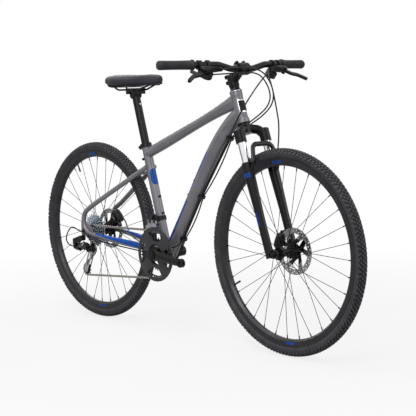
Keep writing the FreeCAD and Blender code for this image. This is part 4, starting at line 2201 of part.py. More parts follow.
def saddle_section(station):
    """One closed section of the cushion: flat foot, rounded sides and a crowned top."""
    along, wide, high, low = station
    x = saddle_start.x + v.saddle_length * along
    half = v.saddle_width / 2 * wide
    top = saddle_start.z + v.saddle_height * high
    foot = saddle_start.z + v.saddle_height * low
    share = SADDLE_SECTION_SHARES
    waist = foot + (top - foot) * share["waist"]

    def at(side, across, height):
        return Vector(x, side * half * across, height)

    shoulder = waist + (top - waist) * share["shoulder_rise"]
    flank = foot + (waist - foot) / 2
    edges = [Part.LineSegment(at(-1, share["foot"], foot), at(1, share["foot"], foot)).toShape()]
    edges.append(Part.Arc(at(1, share["foot"], foot), at(1, share["side"], flank), at(1, 1, waist)).toShape())
    edges.append(Part.Arc(at(1, 1, waist), at(1, share["shoulder"], shoulder), at(0, 0, top)).toShape())
    edges.append(Part.Arc(at(0, 0, top), at(-1, share["shoulder"], shoulder), at(-1, 1, waist)).toShape())
    edges.append(Part.Arc(at(-1, 1, waist), at(-1, share["side"], flank), at(-1, share["foot"], foot)).toShape())
    return Part.Wire(edges)


def shell_section(station):
    """One section of the saddle's hard base, sunk a little into the cushion."""
    along, wide, high, low = station
    x = saddle_start.x + v.saddle_length * along
    half = v.saddle_width / 2 * wide * v.shell_width_share
    foot = saddle_start.z + v.saddle_height * low
    corners = [(-half, foot - v.shell_thickness), (half, foot - v.shell_thickness),
               (half, foot + v.shell_overlap), (-half, foot + v.shell_overlap)]
    points = [Vector(x, y, z) for y, z in corners]
    return Part.makePolygon(points + points[:1])


def rail_line(side):
    """Corners of one rail, from its nose socket to its tail socket."""
    def at(share, across, rise):
        return saddle_start + Vector(v.saddle_length * share, side * across, rise)

    return [
        at(v.rail_nose_share, v.rail_nose_half_spread, v.rail_rise),
        at(v.rail_front_share, v.rail_half_spread, 0),
        at(v.rail_rear_share, v.rail_half_spread, 0),
        at(v.rail_tail_share, v.rail_tail_half_spread, v.rail_rise),
    ]


def make_saddle():
    """Cushion, hard base, rails and the clamp that holds them to the post."""
    bend = v.rail_bend_radius
    rails = [sweep(route(rail_line(side), [0, bend, bend, 0]), v.rail_diameter / 2) for side in (-1, 1)]
    grips = [sweep(route(rail_line(side), [0, bend, bend, 0]), v.rail_diameter / 2 + v.press_gap) for side in (-1, 1)]
    base = Part.makeLoft([shell_section(station) for station in SADDLE_SHARES[1:-1]], True)
    sockets = []
    for side in (-1, 1):
        line = rail_line(side)
        for end in (line[0], line[3]):
            corner = end - Vector(v.socket_length / 2, v.socket_width / 2, v.socket_height / 2)
            sockets.append(Part.makeBox(v.socket_length, v.socket_width, v.socket_height, corner))
    base = largest(base.fuse(sockets).cut(grips))
    cushion = Part.makeLoft([saddle_section(station) for station in SADDLE_SHARES], True)
    cushion = largest(cushion.cut([base] + grips))

    barrel = seat.multVec(Vector(0, 0, v.seatpost_head))
    low = barrel.z + v.cradle_below
    corner = Vector(barrel.x - v.cradle_length / 2, -v.cradle_width / 2, low)
    block = Part.makeBox(v.cradle_length, v.cradle_width, v.rail_height + v.cradle_above - low, corner)
    hollow = Part.makeCylinder(v.head_barrel_diameter / 2 + v.running_gap, 2 * v.cradle_width,
                               barrel - Y_AXIS * v.cradle_width, Y_AXIS)
    lower_post = Part.makeCylinder(v.seatpost_diameter / 2 + v.moving_gap, v.seatpost_top)
    lower_post.Placement = seat
    cradle = largest(block.cut([hollow, lower_post] + grips))
    return cushion, base, rails, cradle


node(make_seat_clamp(), "seat_clamp")
node(make_seatpost(), "seatpost")
cushion_shape, base_shape, rail_shapes, cradle_shape = make_saddle()
node(feature("saddle_padding", cushion_shape), "saddle_padding")
node(feature("saddle_shell", base_shape), "saddle_shell")
node(feature("saddle_rails", Part.makeCompound(rail_shapes)), "saddle_rails")
node(feature("saddle_clamp", cradle_shape), "saddle_clamp")

CORD_SHARES = {
    "rear_brake_front": [(0.41, -0.4, 1.93), (0.59, 0.33, 1.81), (0.73, 0.52, 1.36), (0.74, 0.64, 0.9),
                         (0.66, 0.58, 0.53), (0.41, 0.44, 0.2), (0.06, 0.34, -0.01), (-0.29, 0.24, -0.25)],
    "rear_shift_front": [(0.35, -0.46, 1.72), (0.52, 0.25, 1.72), (0.65, 0.44, 1.3), (0.66, 0.56, 0.88),
                         (0.58, 0.5, 0.54), (0.34, 0.36, 0.24), (0.0, 0.275, 0.03), (-0.33, 0.13, -0.31)],
    "front_shift_front": [(0.46, 0.72, 1.6), (0.5, 0.2, 1.16), (0.25, -0.28, 0.5), (-0.18, -0.31, -0.12)],
    "front_brake_front": [(0.44, 0.75, 1.73), (0.74, 0.68, 1.2), (0.82, 0.78, 0.5), (0.84, 0.9, -0.2)],
    "rear_brake_stay": [(-0.55, 0.24, -0.13), (-0.95, 0.35, -0.02), (-1.7, 0.475, 0.06), (-2.4, 0.6, 0.14),
                        (-3.2, 0.78, 0.26), (-3.6, 0.9, 0.52), (-3.71, 0.88, 0.84), (-3.69, 0.76, 0.98)],
    "rear_shift_stay": [(-0.55, -0.22, -0.13), (-0.95, -0.35, -0.02), (-1.7, -0.475, 0.06), (-2.4, -0.61, 0.14),
                        (-3.2, -0.79, 0.24), (-3.85, -0.92, 0.5), (-4.4, -0.93, 0.58), (-4.94, -0.9, 0.76),
                        (-5.38, -0.87, 0.34), (-5.45, -0.83, 0.07), (-5.26, -0.765, -0.12)],
    "front_shift_end": [(0.75, -0.22, 0.31), (0.47, -0.34, 0.23), (0.12, -0.36, 0.55), (-0.1, -0.37, 1.0)],
    "front_brake_leg": [(0.14, 0.77, -1.9), (0.1, 0.77, -2.9), (0.07, 0.66, -3.6)],
}


def corners(name, anchor):
    """Corners of a cable given as shares of the cable unit from an anchor."""
    return [anchor + Vector(*share) * v.cable_unit for share in CORD_SHARES[name]]


def cord(label, points):
    """A cable of straight runs joined by the largest tangent arcs that fit."""
    radii = [0]
    for before, corner, after in zip(points, points[1:], points[2:]):
        back = corner - before
        ahead = after - corner
        half = back.getAngle(ahead) / 2
        reach = v.cord_reach_share * min(back.Length, ahead.Length)
        radii.append(reach / math.tan(half) if half > v.outline_tolerance else 0)
    line = route(points, radii + [0])
    body = sweep(line, v.cable_diameter / 2)
    expected = math.pi * v.cable_diameter ** 2 / 4 * line.Length
    if abs(body.Volume - expected) > expected * v.cord_volume_share:
        raise RuntimeError(f"{label} crosses itself")
    tightest = min(radius for radius in radii if radius > 0)
    print(f"{label}: {line.Length:.0f} mm long, tightest bend {tightest:.0f} mm")
    return body


def guide_frames():
    """Places under the down tube where the cables are held, from the head down."""
    line = down_tube_line()
    turns = headings(line)
    share = v.first_guide_share
    spots = [(line[3] + (line[4] - line[3]) * share, turns[3] + (turns[4] - turns[3]) * share),
             (line[2], turns[2]), (line[1], turns[1])]
    frames = []
    for point, heading in spots:
        under = unit(Y_AXIS.cross(heading))
        frames.append((point + under * (v.down_tube_depth / 2 + v.cable_offset), unit(heading), under))
    return frames


def guide_points(across):
    """Corners of one cable along the guides, two at each guide so that it runs straight through."""
    points = []
    for point, heading, under in guide_frames():
        for step in (1, 0, -1):
            points.append(point + heading * (step * v.guide_length) + Y_AXIS * across)
    return points


def make_guides():
    """Three clips under the down tube, each holding three cables."""
    tube = oval_loft(down_tube_stations(), Z_AXIS)
    clips = []
    for point, heading, under in guide_frames():
        turn = Rotation(heading, Y_AXIS, under * -1, "ZXY")
        block = Part.makeBox(v.guide_length, v.guide_width, v.guide_height + v.cable_offset,
                             Vector(-v.guide_length / 2, -v.guide_width / 2, -v.guide_height / 2))
        block.Placement = Placement(point, turn)
        bores = []
        for across in (-v.cable_spacing, 0, v.cable_spacing):
            middle = point + Y_AXIS * across
            bores.append(rod(middle + heading * v.guide_length, middle - heading * v.guide_length,
                             v.cable_diameter / 2 + v.press_gap))
        clips.append(largest(block.cut([tube] + bores)))
    return feature("cable_guides", Part.makeCompound(clips))


head_foot = steer.Base
right_bracket_end = lever_place.multVec(Vector(-v.bracket_length - v.cable_diameter / 2, v.bracket_ahead, 0))
pod_reach = v.shifter_inboard + v.shifter_radius + v.cable_diameter / 2
right_pod_end = lever_place.multVec(Vector(-pod_reach, v.shifter_ahead, -v.shifter_below))


def left_of(point):
    """The same place on the other side."""
    return Vector(point.x, -point.y, point.z)


def under_bracket(across):
    """Where a cable passes under the bottom bracket shell."""
    line = down_tube_line()
    under = unit(Y_AXIS.cross(line[1] - line[0]))
    before = line[0] + under * (v.down_tube_depth / 2 + v.cable_offset + v.cable_corner_room)
    below = bracket - Z_AXIS * (v.bracket_shell_diameter / 2 + v.cable_offset + v.cable_diameter / 2)
    return [before + Y_AXIS * across, below + Y_AXIS * across]


def make_rear_brake_hose():
    """From the right lever, left of the head tube, under the down tube and the left stay to the caliper."""
    across = v.cable_spacing
    points = [right_bracket_end] + corners("rear_brake_front", head_foot) + guide_points(across)
    points += under_bracket(across) + corners("rear_brake_stay", bracket)
    return feature("rear_brake_hose", cord("rear brake hose", points))


def make_shift_cables():
    """The rear and front derailleur cables."""
    rear = [right_pod_end] + corners("rear_shift_front", head_foot) + guide_points(0)
    rear += under_bracket(0) + corners("rear_shift_stay", bracket)
    rear.append(mech.multVec(Vector(-v.mech_cheek_radius - v.mech_block_length - v.cable_diameter / 2, 0, 0)))
    front = [left_of(right_pod_end)] + corners("front_shift_front", head_foot) + guide_points(-v.cable_spacing)
    front += corners("front_shift_end", bracket)
    ear_face = swing_middle + v.swing_width / 2 + v.swing_ear + v.cable_diameter / 2 + 2 * v.seat_gap
    front.append(Vector(ear_face, swing_pivot.x, swing_pivot.y))
    return feature("shift_cables", Part.makeCompound([cord("rear shift cable", rear), cord("front shift cable", front)]))


def make_front_brake_hose():
    """From the left lever down behind the left leg to the front caliper."""
    points = [left_of(right_bracket_end)] + corners("front_brake_front", head_foot)
    points += [steer.multVec(Vector(*share) * v.cable_unit) for share in CORD_SHARES["front_brake_leg"]]
    return feature("front_brake_hose", cord("front brake hose", points))


node(make_guides(), "cable_guides")
node(make_rear_brake_hose(), "rear_brake_hose")
node(make_shift_cables(), "shift_cables")
node(make_front_brake_hose(), "front_brake_hose")

doc.recompute()
for item in doc.Objects:
    faults = [state for state in item.State if state in ("Invalid", "Error")]
    if faults:
        raise RuntimeError(f"{item.Label} failed: {faults}")
for piece in NODES:
    if piece.Shape.isNull() or not piece.Shape.isValid():
        raise RuntimeError(f"{piece.Label} has no valid shape")

os.makedirs("parts", exist_ok=True)
for piece in NODES:
    piece.Shape.exportStep(f"parts/{piece.Label}.step")
    solids = len(piece.Shape.Solids)
    print(f"{piece.Label}: {solids} solids, {piece.Shape.Volume:.0f} mm3")
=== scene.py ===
import math

import bpy
import numpy as np
from mathutils import Matrix, Vector


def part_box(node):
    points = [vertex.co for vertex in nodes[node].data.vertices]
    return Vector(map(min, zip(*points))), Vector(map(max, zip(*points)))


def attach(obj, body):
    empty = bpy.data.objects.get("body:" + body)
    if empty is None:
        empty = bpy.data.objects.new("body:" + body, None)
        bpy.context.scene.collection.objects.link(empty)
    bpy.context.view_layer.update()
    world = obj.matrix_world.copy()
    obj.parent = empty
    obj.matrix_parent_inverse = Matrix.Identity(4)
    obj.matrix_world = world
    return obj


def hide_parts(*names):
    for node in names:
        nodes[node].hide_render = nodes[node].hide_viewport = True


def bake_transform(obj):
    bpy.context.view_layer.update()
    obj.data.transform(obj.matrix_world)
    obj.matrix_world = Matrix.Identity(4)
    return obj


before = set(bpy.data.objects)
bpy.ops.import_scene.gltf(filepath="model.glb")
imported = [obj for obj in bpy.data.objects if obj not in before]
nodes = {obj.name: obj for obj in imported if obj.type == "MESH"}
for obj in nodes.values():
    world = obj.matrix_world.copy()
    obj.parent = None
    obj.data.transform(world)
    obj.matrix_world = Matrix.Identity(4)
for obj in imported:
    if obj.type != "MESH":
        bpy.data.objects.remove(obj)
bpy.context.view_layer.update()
scene = bpy.context.scene
scene.view_settings.view_transform = "Standard"

# Places in metres and directions, in the shared frame

X = Vector((1, 0, 0))
Y = Vector((0, 1, 0))
Z = Vector((0, 0, 1))
REAR_AXLE = Vector((-0.5243, 0, 0.351))
FRONT_AXLE = Vector((0.5243, 0, 0.351))
WHEELS = {"front": FRONT_AXLE, "rear": REAR_AXLE}
BRACKET = Vector((-0.09695, 0, 0.295))
STEER_BASE = Vector((0.33099, 0, 0.78176))
STEER_X = Vector((0.94721, 0, 0.32061))
STEER_Z = Vector((-0.32061, 0, 0.94721))
SEAT_X = Vector((0.96174, 0, 0.27396))
SEAT_Z = Vector((-0.27396, 0, 0.96174))


def srgb(red, green, blue):
    """A screen colour from 0 to 255 as a linear colour."""
    shares = [c / 255 for c in (red, green, blue)]
    return tuple(s / 12.92 if s <= 0.04045 else ((s + 0.055) / 1.055) ** 2.4 for s in shares) + (1.0,)


def round_angle(step, count):
    """The angle of one of a number of equal steps round a circle."""
    return 2 * math.pi * step / count


def wheel_out(angle):
    """The direction out of a wheel's axle at an angle."""
    return Vector((math.cos(angle), 0, math.sin(angle)))


# Camera at the photograph's place

CAMERA_PLACE = (3.28825, -2.77449, 0.90949)
CAMERA_YAW = 0.8492
CAMERA_PITCH = 0.1025
CAMERA_ROLL = -0.0242
CAMERA_LENS = 102.0
CAMERA_SENSOR = 36.0
CAMERA_REACH = 50


def make_camera():
    level = math.cos(CAMERA_PITCH)
    ahead = Vector((-math.sin(CAMERA_YAW) * level, math.cos(CAMERA_YAW) * level, -math.sin(CAMERA_PITCH)))
    right = Vector((math.cos(CAMERA_YAW), math.sin(CAMERA_YAW), 0))
    up = right.cross(ahead)
    tilted_right = right * math.cos(CAMERA_ROLL) + up * math.sin(CAMERA_ROLL)
    tilted_up = up * math.cos(CAMERA_ROLL) - right * math.sin(CAMERA_ROLL)
    camera = bpy.data.objects.new("camera", bpy.data.cameras.new("camera"))
    camera.data.lens = CAMERA_LENS
    camera.data.sensor_width = CAMERA_SENSOR
    camera.data.clip_end = CAMERA_REACH
    turn = Matrix((tilted_right, tilted_up, -ahead)).transposed().to_4x4()
    turn.translation = CAMERA_PLACE
    camera.matrix_world = turn
    scene.collection.objects.link(camera)
    scene.camera = camera


# Material nodes

class Shader:
    """A material and short ways to add nodes to it."""

    def __init__(self, name):
        self.material = bpy.data.materials.new(name)
        self.material.use_nodes = True
        self.tree = self.material.node_tree
        self.surface = self.tree.nodes["Principled BSDF"]
        self.place = self.tree.nodes.new("ShaderNodeTexCoord").outputs["Object"]
        split = self.tree.nodes.new("ShaderNodeSeparateXYZ")
        self.link(self.place, split.inputs[0])
        self.x, self.y, self.z = split.outputs

    def link(self, source, target):
        self.tree.links.new(source, target)

    def feed(self, value, target):
        """A socket is linked, a plain value is set."""
        if isinstance(value, bpy.types.NodeSocket):
            self.link(value, target)
        else:
            target.default_value = value

    def set(self, **values):
        """Uniform values of the surface, with _ for each space in a name."""
        for name, value in values.items():
            self.surface.inputs[name.replace("_", " ")].default_value = value

    def math(self, operation, first, second=0.0, third=0.0):
        made = self.tree.nodes.new("ShaderNodeMath")
        made.operation = operation
        for value, target in zip((first, second, third), made.inputs):
            self.feed(value, target)
        return made.outputs[0]

    def hypot(self, first, second):
        squares = [self.math("MULTIPLY", value, value) for value in (first, second)]
        return self.math("SQRT", self.math("ADD", *squares))

    def from_axle(self, centre, x=None):
        """Distances ahead of and above an axle."""
        x = self.x if x is None else x
        return self.math("SUBTRACT", x, centre.x), self.math("SUBTRACT", self.z, centre.z)

    def slope(self, rise, start):
        """A value that changes along X."""
        return self.math("MULTIPLY_ADD", self.x, rise, start)

    def plane(self, direction, offset):
        """Distance along a direction from a plane at that offset."""
        total = -offset
        for socket, share in zip((self.x, self.y, self.z), direction):
            if abs(share) > 1e-6:
                total = self.math("MULTIPLY_ADD", socket, share, total)
        return total

    def band(self, value, low, high, soft=0.0004):
        """1 between low and high with soft edges."""
        sides = []
        for larger, smaller in ((value, low), (high, value)):
            depth = self.math("DIVIDE", self.math("SUBTRACT", larger, smaller), soft)
            sides.append(self.math("SMOOTH_MIN", depth, 1.0, 0.1))
        inside = self.math("MINIMUM", self.math("MINIMUM", *sides), 1.0)
        return self.math("MAXIMUM", inside, 0.0)

    def product(self, *values):
        total = values[0]
        for value in values[1:]:
            total = self.math("MULTIPLY", total, value)
        return total

    def noise(self, scale, detail=3.0, roughness=0.55, stretch=None):
        made = self.tree.nodes.new("ShaderNodeTexNoise")
        made.inputs["Scale"].default_value = scale
        made.inputs["Detail"].default_value = detail
        made.inputs["Roughness"].default_value = roughness
        source = self.place
        if stretch:
            mapping = self.tree.nodes.new("ShaderNodeMapping")
            mapping.inputs["Scale"].default_value = stretch
            self.link(source, mapping.inputs["Vector"])
            source = mapping.outputs[0]
        self.link(source, made.inputs["Vector"])
        return made.outputs["Fac"]

    def cells(self, scale):
        made = self.tree.nodes.new("ShaderNodeTexVoronoi")
        made.feature = "DISTANCE_TO_EDGE"
        made.inputs["Scale"].default_value = scale
        self.link(self.place, made.inputs["Vector"])
        return made.outputs["Distance"]

    def range(self, value, low, high, new_low=0.0, new_high=1.0):
        made = self.tree.nodes.new("ShaderNodeMapRange")
        made.inputs["From Min"].default_value = low
        made.inputs["From Max"].default_value = high
        made.inputs["To Min"].default_value = new_low
        made.inputs["To Max"].default_value = new_high
        self.link(value, made.inputs["Value"])
        return made.outputs[0]

    def mix(self, share, first, second):
        made = self.tree.nodes.new("ShaderNodeMix")
        made.data_type = "RGBA"
        self.feed(share, made.inputs["Factor"])
        self.feed(first, made.inputs["A"])
        self.feed(second, made.inputs["B"])
        return made.outputs["Result"]

    def tinted(self, dark, light, scale, detail=4.0):
        """A colour that drifts between two close tones."""
        return self.mix(self.range(self.noise(scale, detail), 0.35, 0.65), dark, light)

    def bump(self, height, strength, distance):
        made = self.tree.nodes.new("ShaderNodeBump")
        made.inputs["Strength"].default_value = strength
        made.inputs["Distance"].default_value = distance
        self.link(height, made.inputs["Height"])
        self.link(made.outputs[0], self.surface.inputs["Normal"])

    def edge_wear(self):
        """High on worn outer edges, from the surface's own pointiness."""
        geometry = self.tree.nodes.new("ShaderNodeNewGeometry")
        return self.range(geometry.outputs["Pointiness"], 0.52, 0.6)

    def finish(self, colour, rough, metal=0.0, spread=0.06, coat=0.0, shine=0.28):
        """Colour, a little uneven gloss and a coat."""
        self.set(Specular_IOR_Level=shine, Metallic=metal, Coat_Weight=coat, Coat_Roughness=0.25)
        self.feed(colour, self.surface.inputs["Base Color"])
        gloss = self.range(self.noise(90, 4.0), 0.3, 0.7, rough - spread, rough + spread)
        self.link(gloss, self.surface.inputs["Roughness"])


# Paint

BLUE = srgb(0, 58, 140)
BLUE_LIGHT = srgb(4, 76, 164)
BLUE_DARK = srgb(4, 34, 98)
PATCH_BLUE = srgb(0, 49, 118)
PATCH_BLUE_LIGHT = srgb(3, 64, 139)
BLUE_DRIFT = 60

SEAT_PATCH_HEIGHT = 0.291
SEAT_PATCH_HALF_TALL = 0.031
SEAT_PATCH_HALF_WIDE = 0.0158
SEAT_PATCH_AHEAD = (0.0, 0.03)
SEAT_PATCH_SOFT = 0.06

# The down tube's blue edge: a point on the tube, its heading, the run along it and the lower edge
DOWN_TUBE_LOW = Vector((-0.03127, 0, 0.37226))
DOWN_TUBE_LOW_HEADING = Vector((0.55147, 0, 0.83420))
DOWN_TUBE_HIGH = Vector((0.0757, 0, 0.5341))
DOWN_TUBE_HIGH_HEADING = Vector((0.57610, 0, 0.81738))
DOWN_TUBE_STRIPES = (
    (DOWN_TUBE_LOW, DOWN_TUBE_LOW_HEADING, (-0.06, 0.15), -0.003),
    (DOWN_TUBE_LOW, DOWN_TUBE_LOW_HEADING, (0.15, 0.194), -0.011),
    (DOWN_TUBE_HIGH, DOWN_TUBE_HIGH_HEADING, (0.0, 0.17), -0.011),
)
DOWN_TUBE_STRIPE_TOP = -0.03
DOWN_TUBE_STRIPE_SIDE = (0.0075, 0.04)
STRIPE_SOFT = 0.0008

# The chainstays' blue stripe: slopes along X and values at X = 0
STAY_SIDE = (-0.1016, 0.0122)
STAY_HEIGHT = (-0.1057, 0.3013)
STAY_STRIPE_LOW = (0.0575, 0.0300)
STAY_STRIPE_TOP = (0.026, 0.0033)
STAY_STRIPE_RUN = (-0.452, -0.205)
STAY_STRIPE_SLANT = 1.2
STAY_STRIPE_OUTSIDE = (0.001, 0.04)
STAY_REACH = 0.1

# The fork leg's blue bands: the range down the leg and the inner edge across it
LEG_BANDS = (((0.318, 0.368), -0.0715), ((0.183, 0.200), -0.0680))
LEG_OUTSIDE = -0.09


def paint_base(shader):
    flakes = shader.noise(2600, detail=1.0, roughness=0.3)
    grey = shader.tinted(srgb(110, 108, 113), srgb(119, 117, 122), 18)
    return shader.mix(shader.range(flakes, 0.55, 0.75, 0.0, 0.35), grey, srgb(134, 132, 138)), flakes


def paint_finish(shader, colour, flakes):
    shader.finish(colour, rough=0.36, metal=0.4, spread=0.04, coat=0.12)
    fleck = shader.math("MULTIPLY", flakes, 0.15)
    peel = shader.math("ADD", shader.noise(420, detail=2.0), fleck)
    shader.bump(peel, strength=0.05, distance=0.0006)
    return shader.material


def seat_patch(shader):
    """1 on a patch with rounded corners on the front of the seat tube."""
    along = shader.plane(SEAT_Z, BRACKET.dot(SEAT_Z) + SEAT_PATCH_HEIGHT)
    ahead = shader.plane(SEAT_X, BRACKET.dot(SEAT_X))
    total = 0.0
    for value, half in ((along, SEAT_PATCH_HALF_TALL), (shader.y, SEAT_PATCH_HALF_WIDE)):
        share = shader.math("ABSOLUTE", shader.math("DIVIDE", value, half))
        total = shader.math("ADD", shader.math("POWER", share, 4.0), total)
    return shader.product(shader.band(total, -1.0, 1.0, SEAT_PATCH_SOFT),
                          shader.band(ahead, *SEAT_PATCH_AHEAD))


def front_paint():
    """Satin charcoal paint, with a plain blue patch on the seat tube and a blue edge on the down tube."""
    shader = Shader("frame_front_paint")
    base, flakes = paint_base(shader)
    mask = seat_patch(shader)
    for foot, heading, (start, end), low in DOWN_TUBE_STRIPES:
        under = Vector((heading.z, 0, -heading.x))
        run = shader.plane(heading, foot.dot(heading))
        below = shader.plane(under, foot.dot(under))
        beside = shader.math("ABSOLUTE", shader.y)
        stripe = shader.product(shader.band(run, start, end),
                                shader.band(below, DOWN_TUBE_STRIPE_TOP, low, STRIPE_SOFT),
                                shader.band(beside, *DOWN_TUBE_STRIPE_SIDE, STRIPE_SOFT))
        mask = shader.math("MAXIMUM", mask, stripe)
    blue = shader.tinted(PATCH_BLUE, PATCH_BLUE_LIGHT, BLUE_DRIFT)
    return paint_finish(shader, shader.mix(mask, base, blue), flakes)


def rear_paint():
    """The same paint with a plain blue stripe along each chainstay."""
    shader = Shader("frame_rear_paint")
    base, flakes = paint_base(shader)
    outside = shader.math("SUBTRACT", shader.math("ABSOLUTE", shader.y), shader.slope(*STAY_SIDE))
    height = shader.math("SUBTRACT", shader.z, shader.slope(*STAY_HEIGHT))
    slanted = shader.math("MULTIPLY_ADD", height, STAY_STRIPE_SLANT, shader.x)
    over_low = shader.math("ADD", height, shader.slope(*STAY_STRIPE_LOW))
    over_top = shader.math("ADD", height, shader.slope(*STAY_STRIPE_TOP))
    stripe = shader.product(shader.band(slanted, *STAY_STRIPE_RUN),
                            shader.band(over_low, 0.0, STAY_REACH),
                            shader.band(over_top, -STAY_REACH, 0.0),
                            shader.band(outside, *STAY_STRIPE_OUTSIDE, STRIPE_SOFT))
    blue = shader.tinted(BLUE, BLUE_LIGHT, BLUE_DRIFT)
    return paint_finish(shader, shader.mix(stripe, base, blue), flakes)


def lowers_paint():
    """Gloss black fork legs with two plain blue bands on the right leg."""
    shader = Shader("fork_leg_paint")
    base = shader.tinted(srgb(7, 7, 8), srgb(12, 12, 14), 30)
    down = shader.plane(-STEER_Z, STEER_BASE.dot(-STEER_Z))
    mask = 0.0
    for (top, bottom), inner in LEG_BANDS:
        ring = shader.product(shader.band(down, top, bottom), shader.band(shader.y, LEG_OUTSIDE, inner))
        mask = shader.math("MAXIMUM", ring, mask)
    colour = shader.mix(mask, base, shader.tinted(BLUE_DARK, BLUE, BLUE_DRIFT))
    shader.finish(colour, rough=0.2, spread=0.04, coat=0.05, shine=0.24)
    shader.bump(shader.noise(380, detail=2.0), strength=0.04, distance=0.0005)
    return shader.material


# Metal, plastic, rubber and the saddle's cover

RIM_PATCH_RADII = (0.3005, 0.3090)
RIM_PATCH_HALF = 0.068
RIM_PATCH_SOFT = 0.002
RIM_FLANK = (0.004, 0.02)
# Radii of the band of painted shade on the tyre carcass between the knobs
CARCASS_SHOULDER = 0.3375
CARCASS_OUTSIDE = 0.4
CARCASS_SOFT = 0.0015
ROTOR_CARRIER_RADIUS = 0.046
HEADSET_SPLIT = 0.05
HEADSET_TOP = 0.2


def satin_black(name, dark=(10, 10, 11), light=(18, 18, 20), rough=0.4, metal=0.3, grain=700):
    """Anodised black alloy: fine blasted grain, slightly uneven tone and paler worn edges."""
    shader = Shader(name)
    base = shader.tinted(srgb(*dark), srgb(*light), 24)
    worn = shader.product(shader.edge_wear(), shader.range(shader.noise(160), 0.5, 0.7, 0.0, 0.12))
    shader.finish(shader.mix(worn, base, srgb(84, 84, 88)), rough, metal)
    shader.bump(shader.noise(grain, detail=2.0), strength=0.1, distance=0.0004)
    return shader.material


def bright_metal(name, dark, light, rough, stretch=None, scale=200, strength=0.12):
    """Steel or alloy with fine turned or brushed lines."""
    shader = Shader(name)
    lines = shader.noise(scale, roughness=0.6, stretch=stretch)
    colour = shader.mix(shader.range(lines, 0.3, 0.7), srgb(*dark), srgb(*light))
    shader.finish(colour, rough, metal=1.0, spread=0.07)
    shader.bump(lines, strength, distance=0.0003)
    return shader.material


def turned_metal(name, centre, dark, light, rough, rings=500.0, split=None, inner=None):
    """Metal with rings round an axle along Y, and a darker carrier inside the split radius."""
    shader = Shader(name)
    radius = shader.hypot(*shader.from_axle(centre))
    ring = shader.math("SINE", shader.math("MULTIPLY", radius, rings * 2 * math.pi))
    lines = shader.math("MULTIPLY_ADD", ring, 0.25, shader.noise(500))
    colour = shader.mix(shader.range(lines, 0.2, 0.8), srgb(*dark), srgb(*light))
    if split:
        colour = shader.mix(shader.band(radius, 0.0, split), colour, srgb(*inner))
    shader.finish(colour, rough, metal=1.0)
    shader.bump(lines, strength=0.1, distance=0.0002)
    return shader.material


def rotor_steel(wheel):
    return turned_metal(wheel + "_rotor_steel", WHEELS[wheel], (128, 129, 131), (184, 185, 187), 0.3,
                        rings=700.0, split=ROTOR_CARRIER_RADIUS, inner=(42, 42, 45))


def rim_finish(wheel, middle):
    """Black rim with fine machining and two plain blue patches, one above and one below the axle."""
    shader = Shader(wheel + "_rim_black")
    ahead, above = shader.from_axle(WHEELS[wheel])
    lean = shader.math("DIVIDE", ahead, above)
    beside = shader.math("ABSOLUTE", shader.y)
    patch = shader.product(
        shader.band(lean, middle - RIM_PATCH_HALF, middle + RIM_PATCH_HALF, RIM_PATCH_SOFT),
        shader.band(shader.hypot(ahead, above), *RIM_PATCH_RADII), shader.band(beside, *RIM_FLANK))
    base = shader.tinted(srgb(38, 37, 40), srgb(46, 45, 48), 28)
    colour = shader.mix(patch, base, shader.tinted(PATCH_BLUE, BLUE_LIGHT, BLUE_DRIFT))
    shader.finish(colour, rough=0.34, metal=0.3)
    shader.bump(shader.noise(600, detail=2.0), strength=0.08, distance=0.0004)
    return shader.material


def moulded(name, dark, light, rough, grain=900, strength=0.16):
    """Moulded plastic or rubber with a fine pitted skin."""
    shader = Shader(name)
    base = shader.tinted(srgb(*dark), srgb(*light), 40)
    dust = shader.range(shader.noise(14, detail=5.0), 0.52, 0.75, 0.0, 0.18)
    shader.finish(shader.mix(dust, base, srgb(58, 57, 57)), rough, spread=0.05)
    pits = shader.math("MULTIPLY_ADD", shader.cells(grain), 0.6, shader.noise(grain, detail=2.0))
    shader.bump(pits, strength, distance=0.0004)
    return shader.material


def headset_finish():
    """Bright upper cup and black lower cup, parted half way up the head tube."""
    shader = Shader("headset_cups")
    height = shader.plane(STEER_Z, STEER_BASE.dot(STEER_Z) + HEADSET_SPLIT)
    lines = shader.noise(240, roughness=0.6)
    bright = shader.mix(lines, srgb(150, 151, 154), srgb(190, 191, 194))
    colour = shader.mix(shader.band(height, 0.0, HEADSET_TOP), srgb(12, 12, 13), bright)
    shader.finish(colour, rough=0.32, metal=1.0)
    shader.bump(lines, strength=0.1, distance=0.0003)
    return shader.material


def leather():
    """Synthetic saddle cover: pebbled grain over a soft drift of tone, with painted shade in the grooves
    between the pebbles.
    """
    shader = Shader("saddle_cover")
    base = shader.tinted(srgb(37, 36, 42), srgb(47, 46, 53), 22)
    grain = shader.cells(520)
    # Painted shade: the grooves between the pebbles are darkened.
    groove_shade = shader.math("MULTIPLY", shader.range(grain, 0.0, 0.12, 1.0, 0.0), 0.4)
    shader.finish(shader.mix(groove_shade, base, srgb(26, 26, 29)), rough=0.5)
    shader.set(Sheen_Weight=0.05)
    pebbles = shader.math("MULTIPLY_ADD", grain, 0.8, shader.noise(900, detail=2.0))
    shader.bump(pebbles, strength=0.3, distance=0.0006)
    return shader.material


def tread_rubber(name, dark, light, gap_shade=None):
    """Tyre rubber; between the knobs the carcass is darker, out to the shoulders: painted shade between the
    knobs.
    """
    shader = Shader(name)
    base = shader.tinted(srgb(*dark), srgb(*light), 30)
    dust = shader.range(shader.noise(12, detail=5.0), 0.5, 0.75, 0.0, 0.3)
    colour = shader.mix(dust, base, srgb(66, 64, 63))
    # Painted shade: a near-black band over the carcass's tread zone, between the knobs.
    if gap_shade:
        either_wheel = shader.math("ABSOLUTE", shader.x)
        radius = shader.hypot(*shader.from_axle(FRONT_AXLE, either_wheel))
        middle = shader.band(radius, CARCASS_SHOULDER, CARCASS_OUTSIDE, CARCASS_SOFT)
        colour = shader.mix(middle, colour, srgb(*gap_shade))
    shader.finish(colour, rough=0.64)
    shader.bump(shader.noise(1100), strength=0.22, distance=0.0005)
    return shader.material


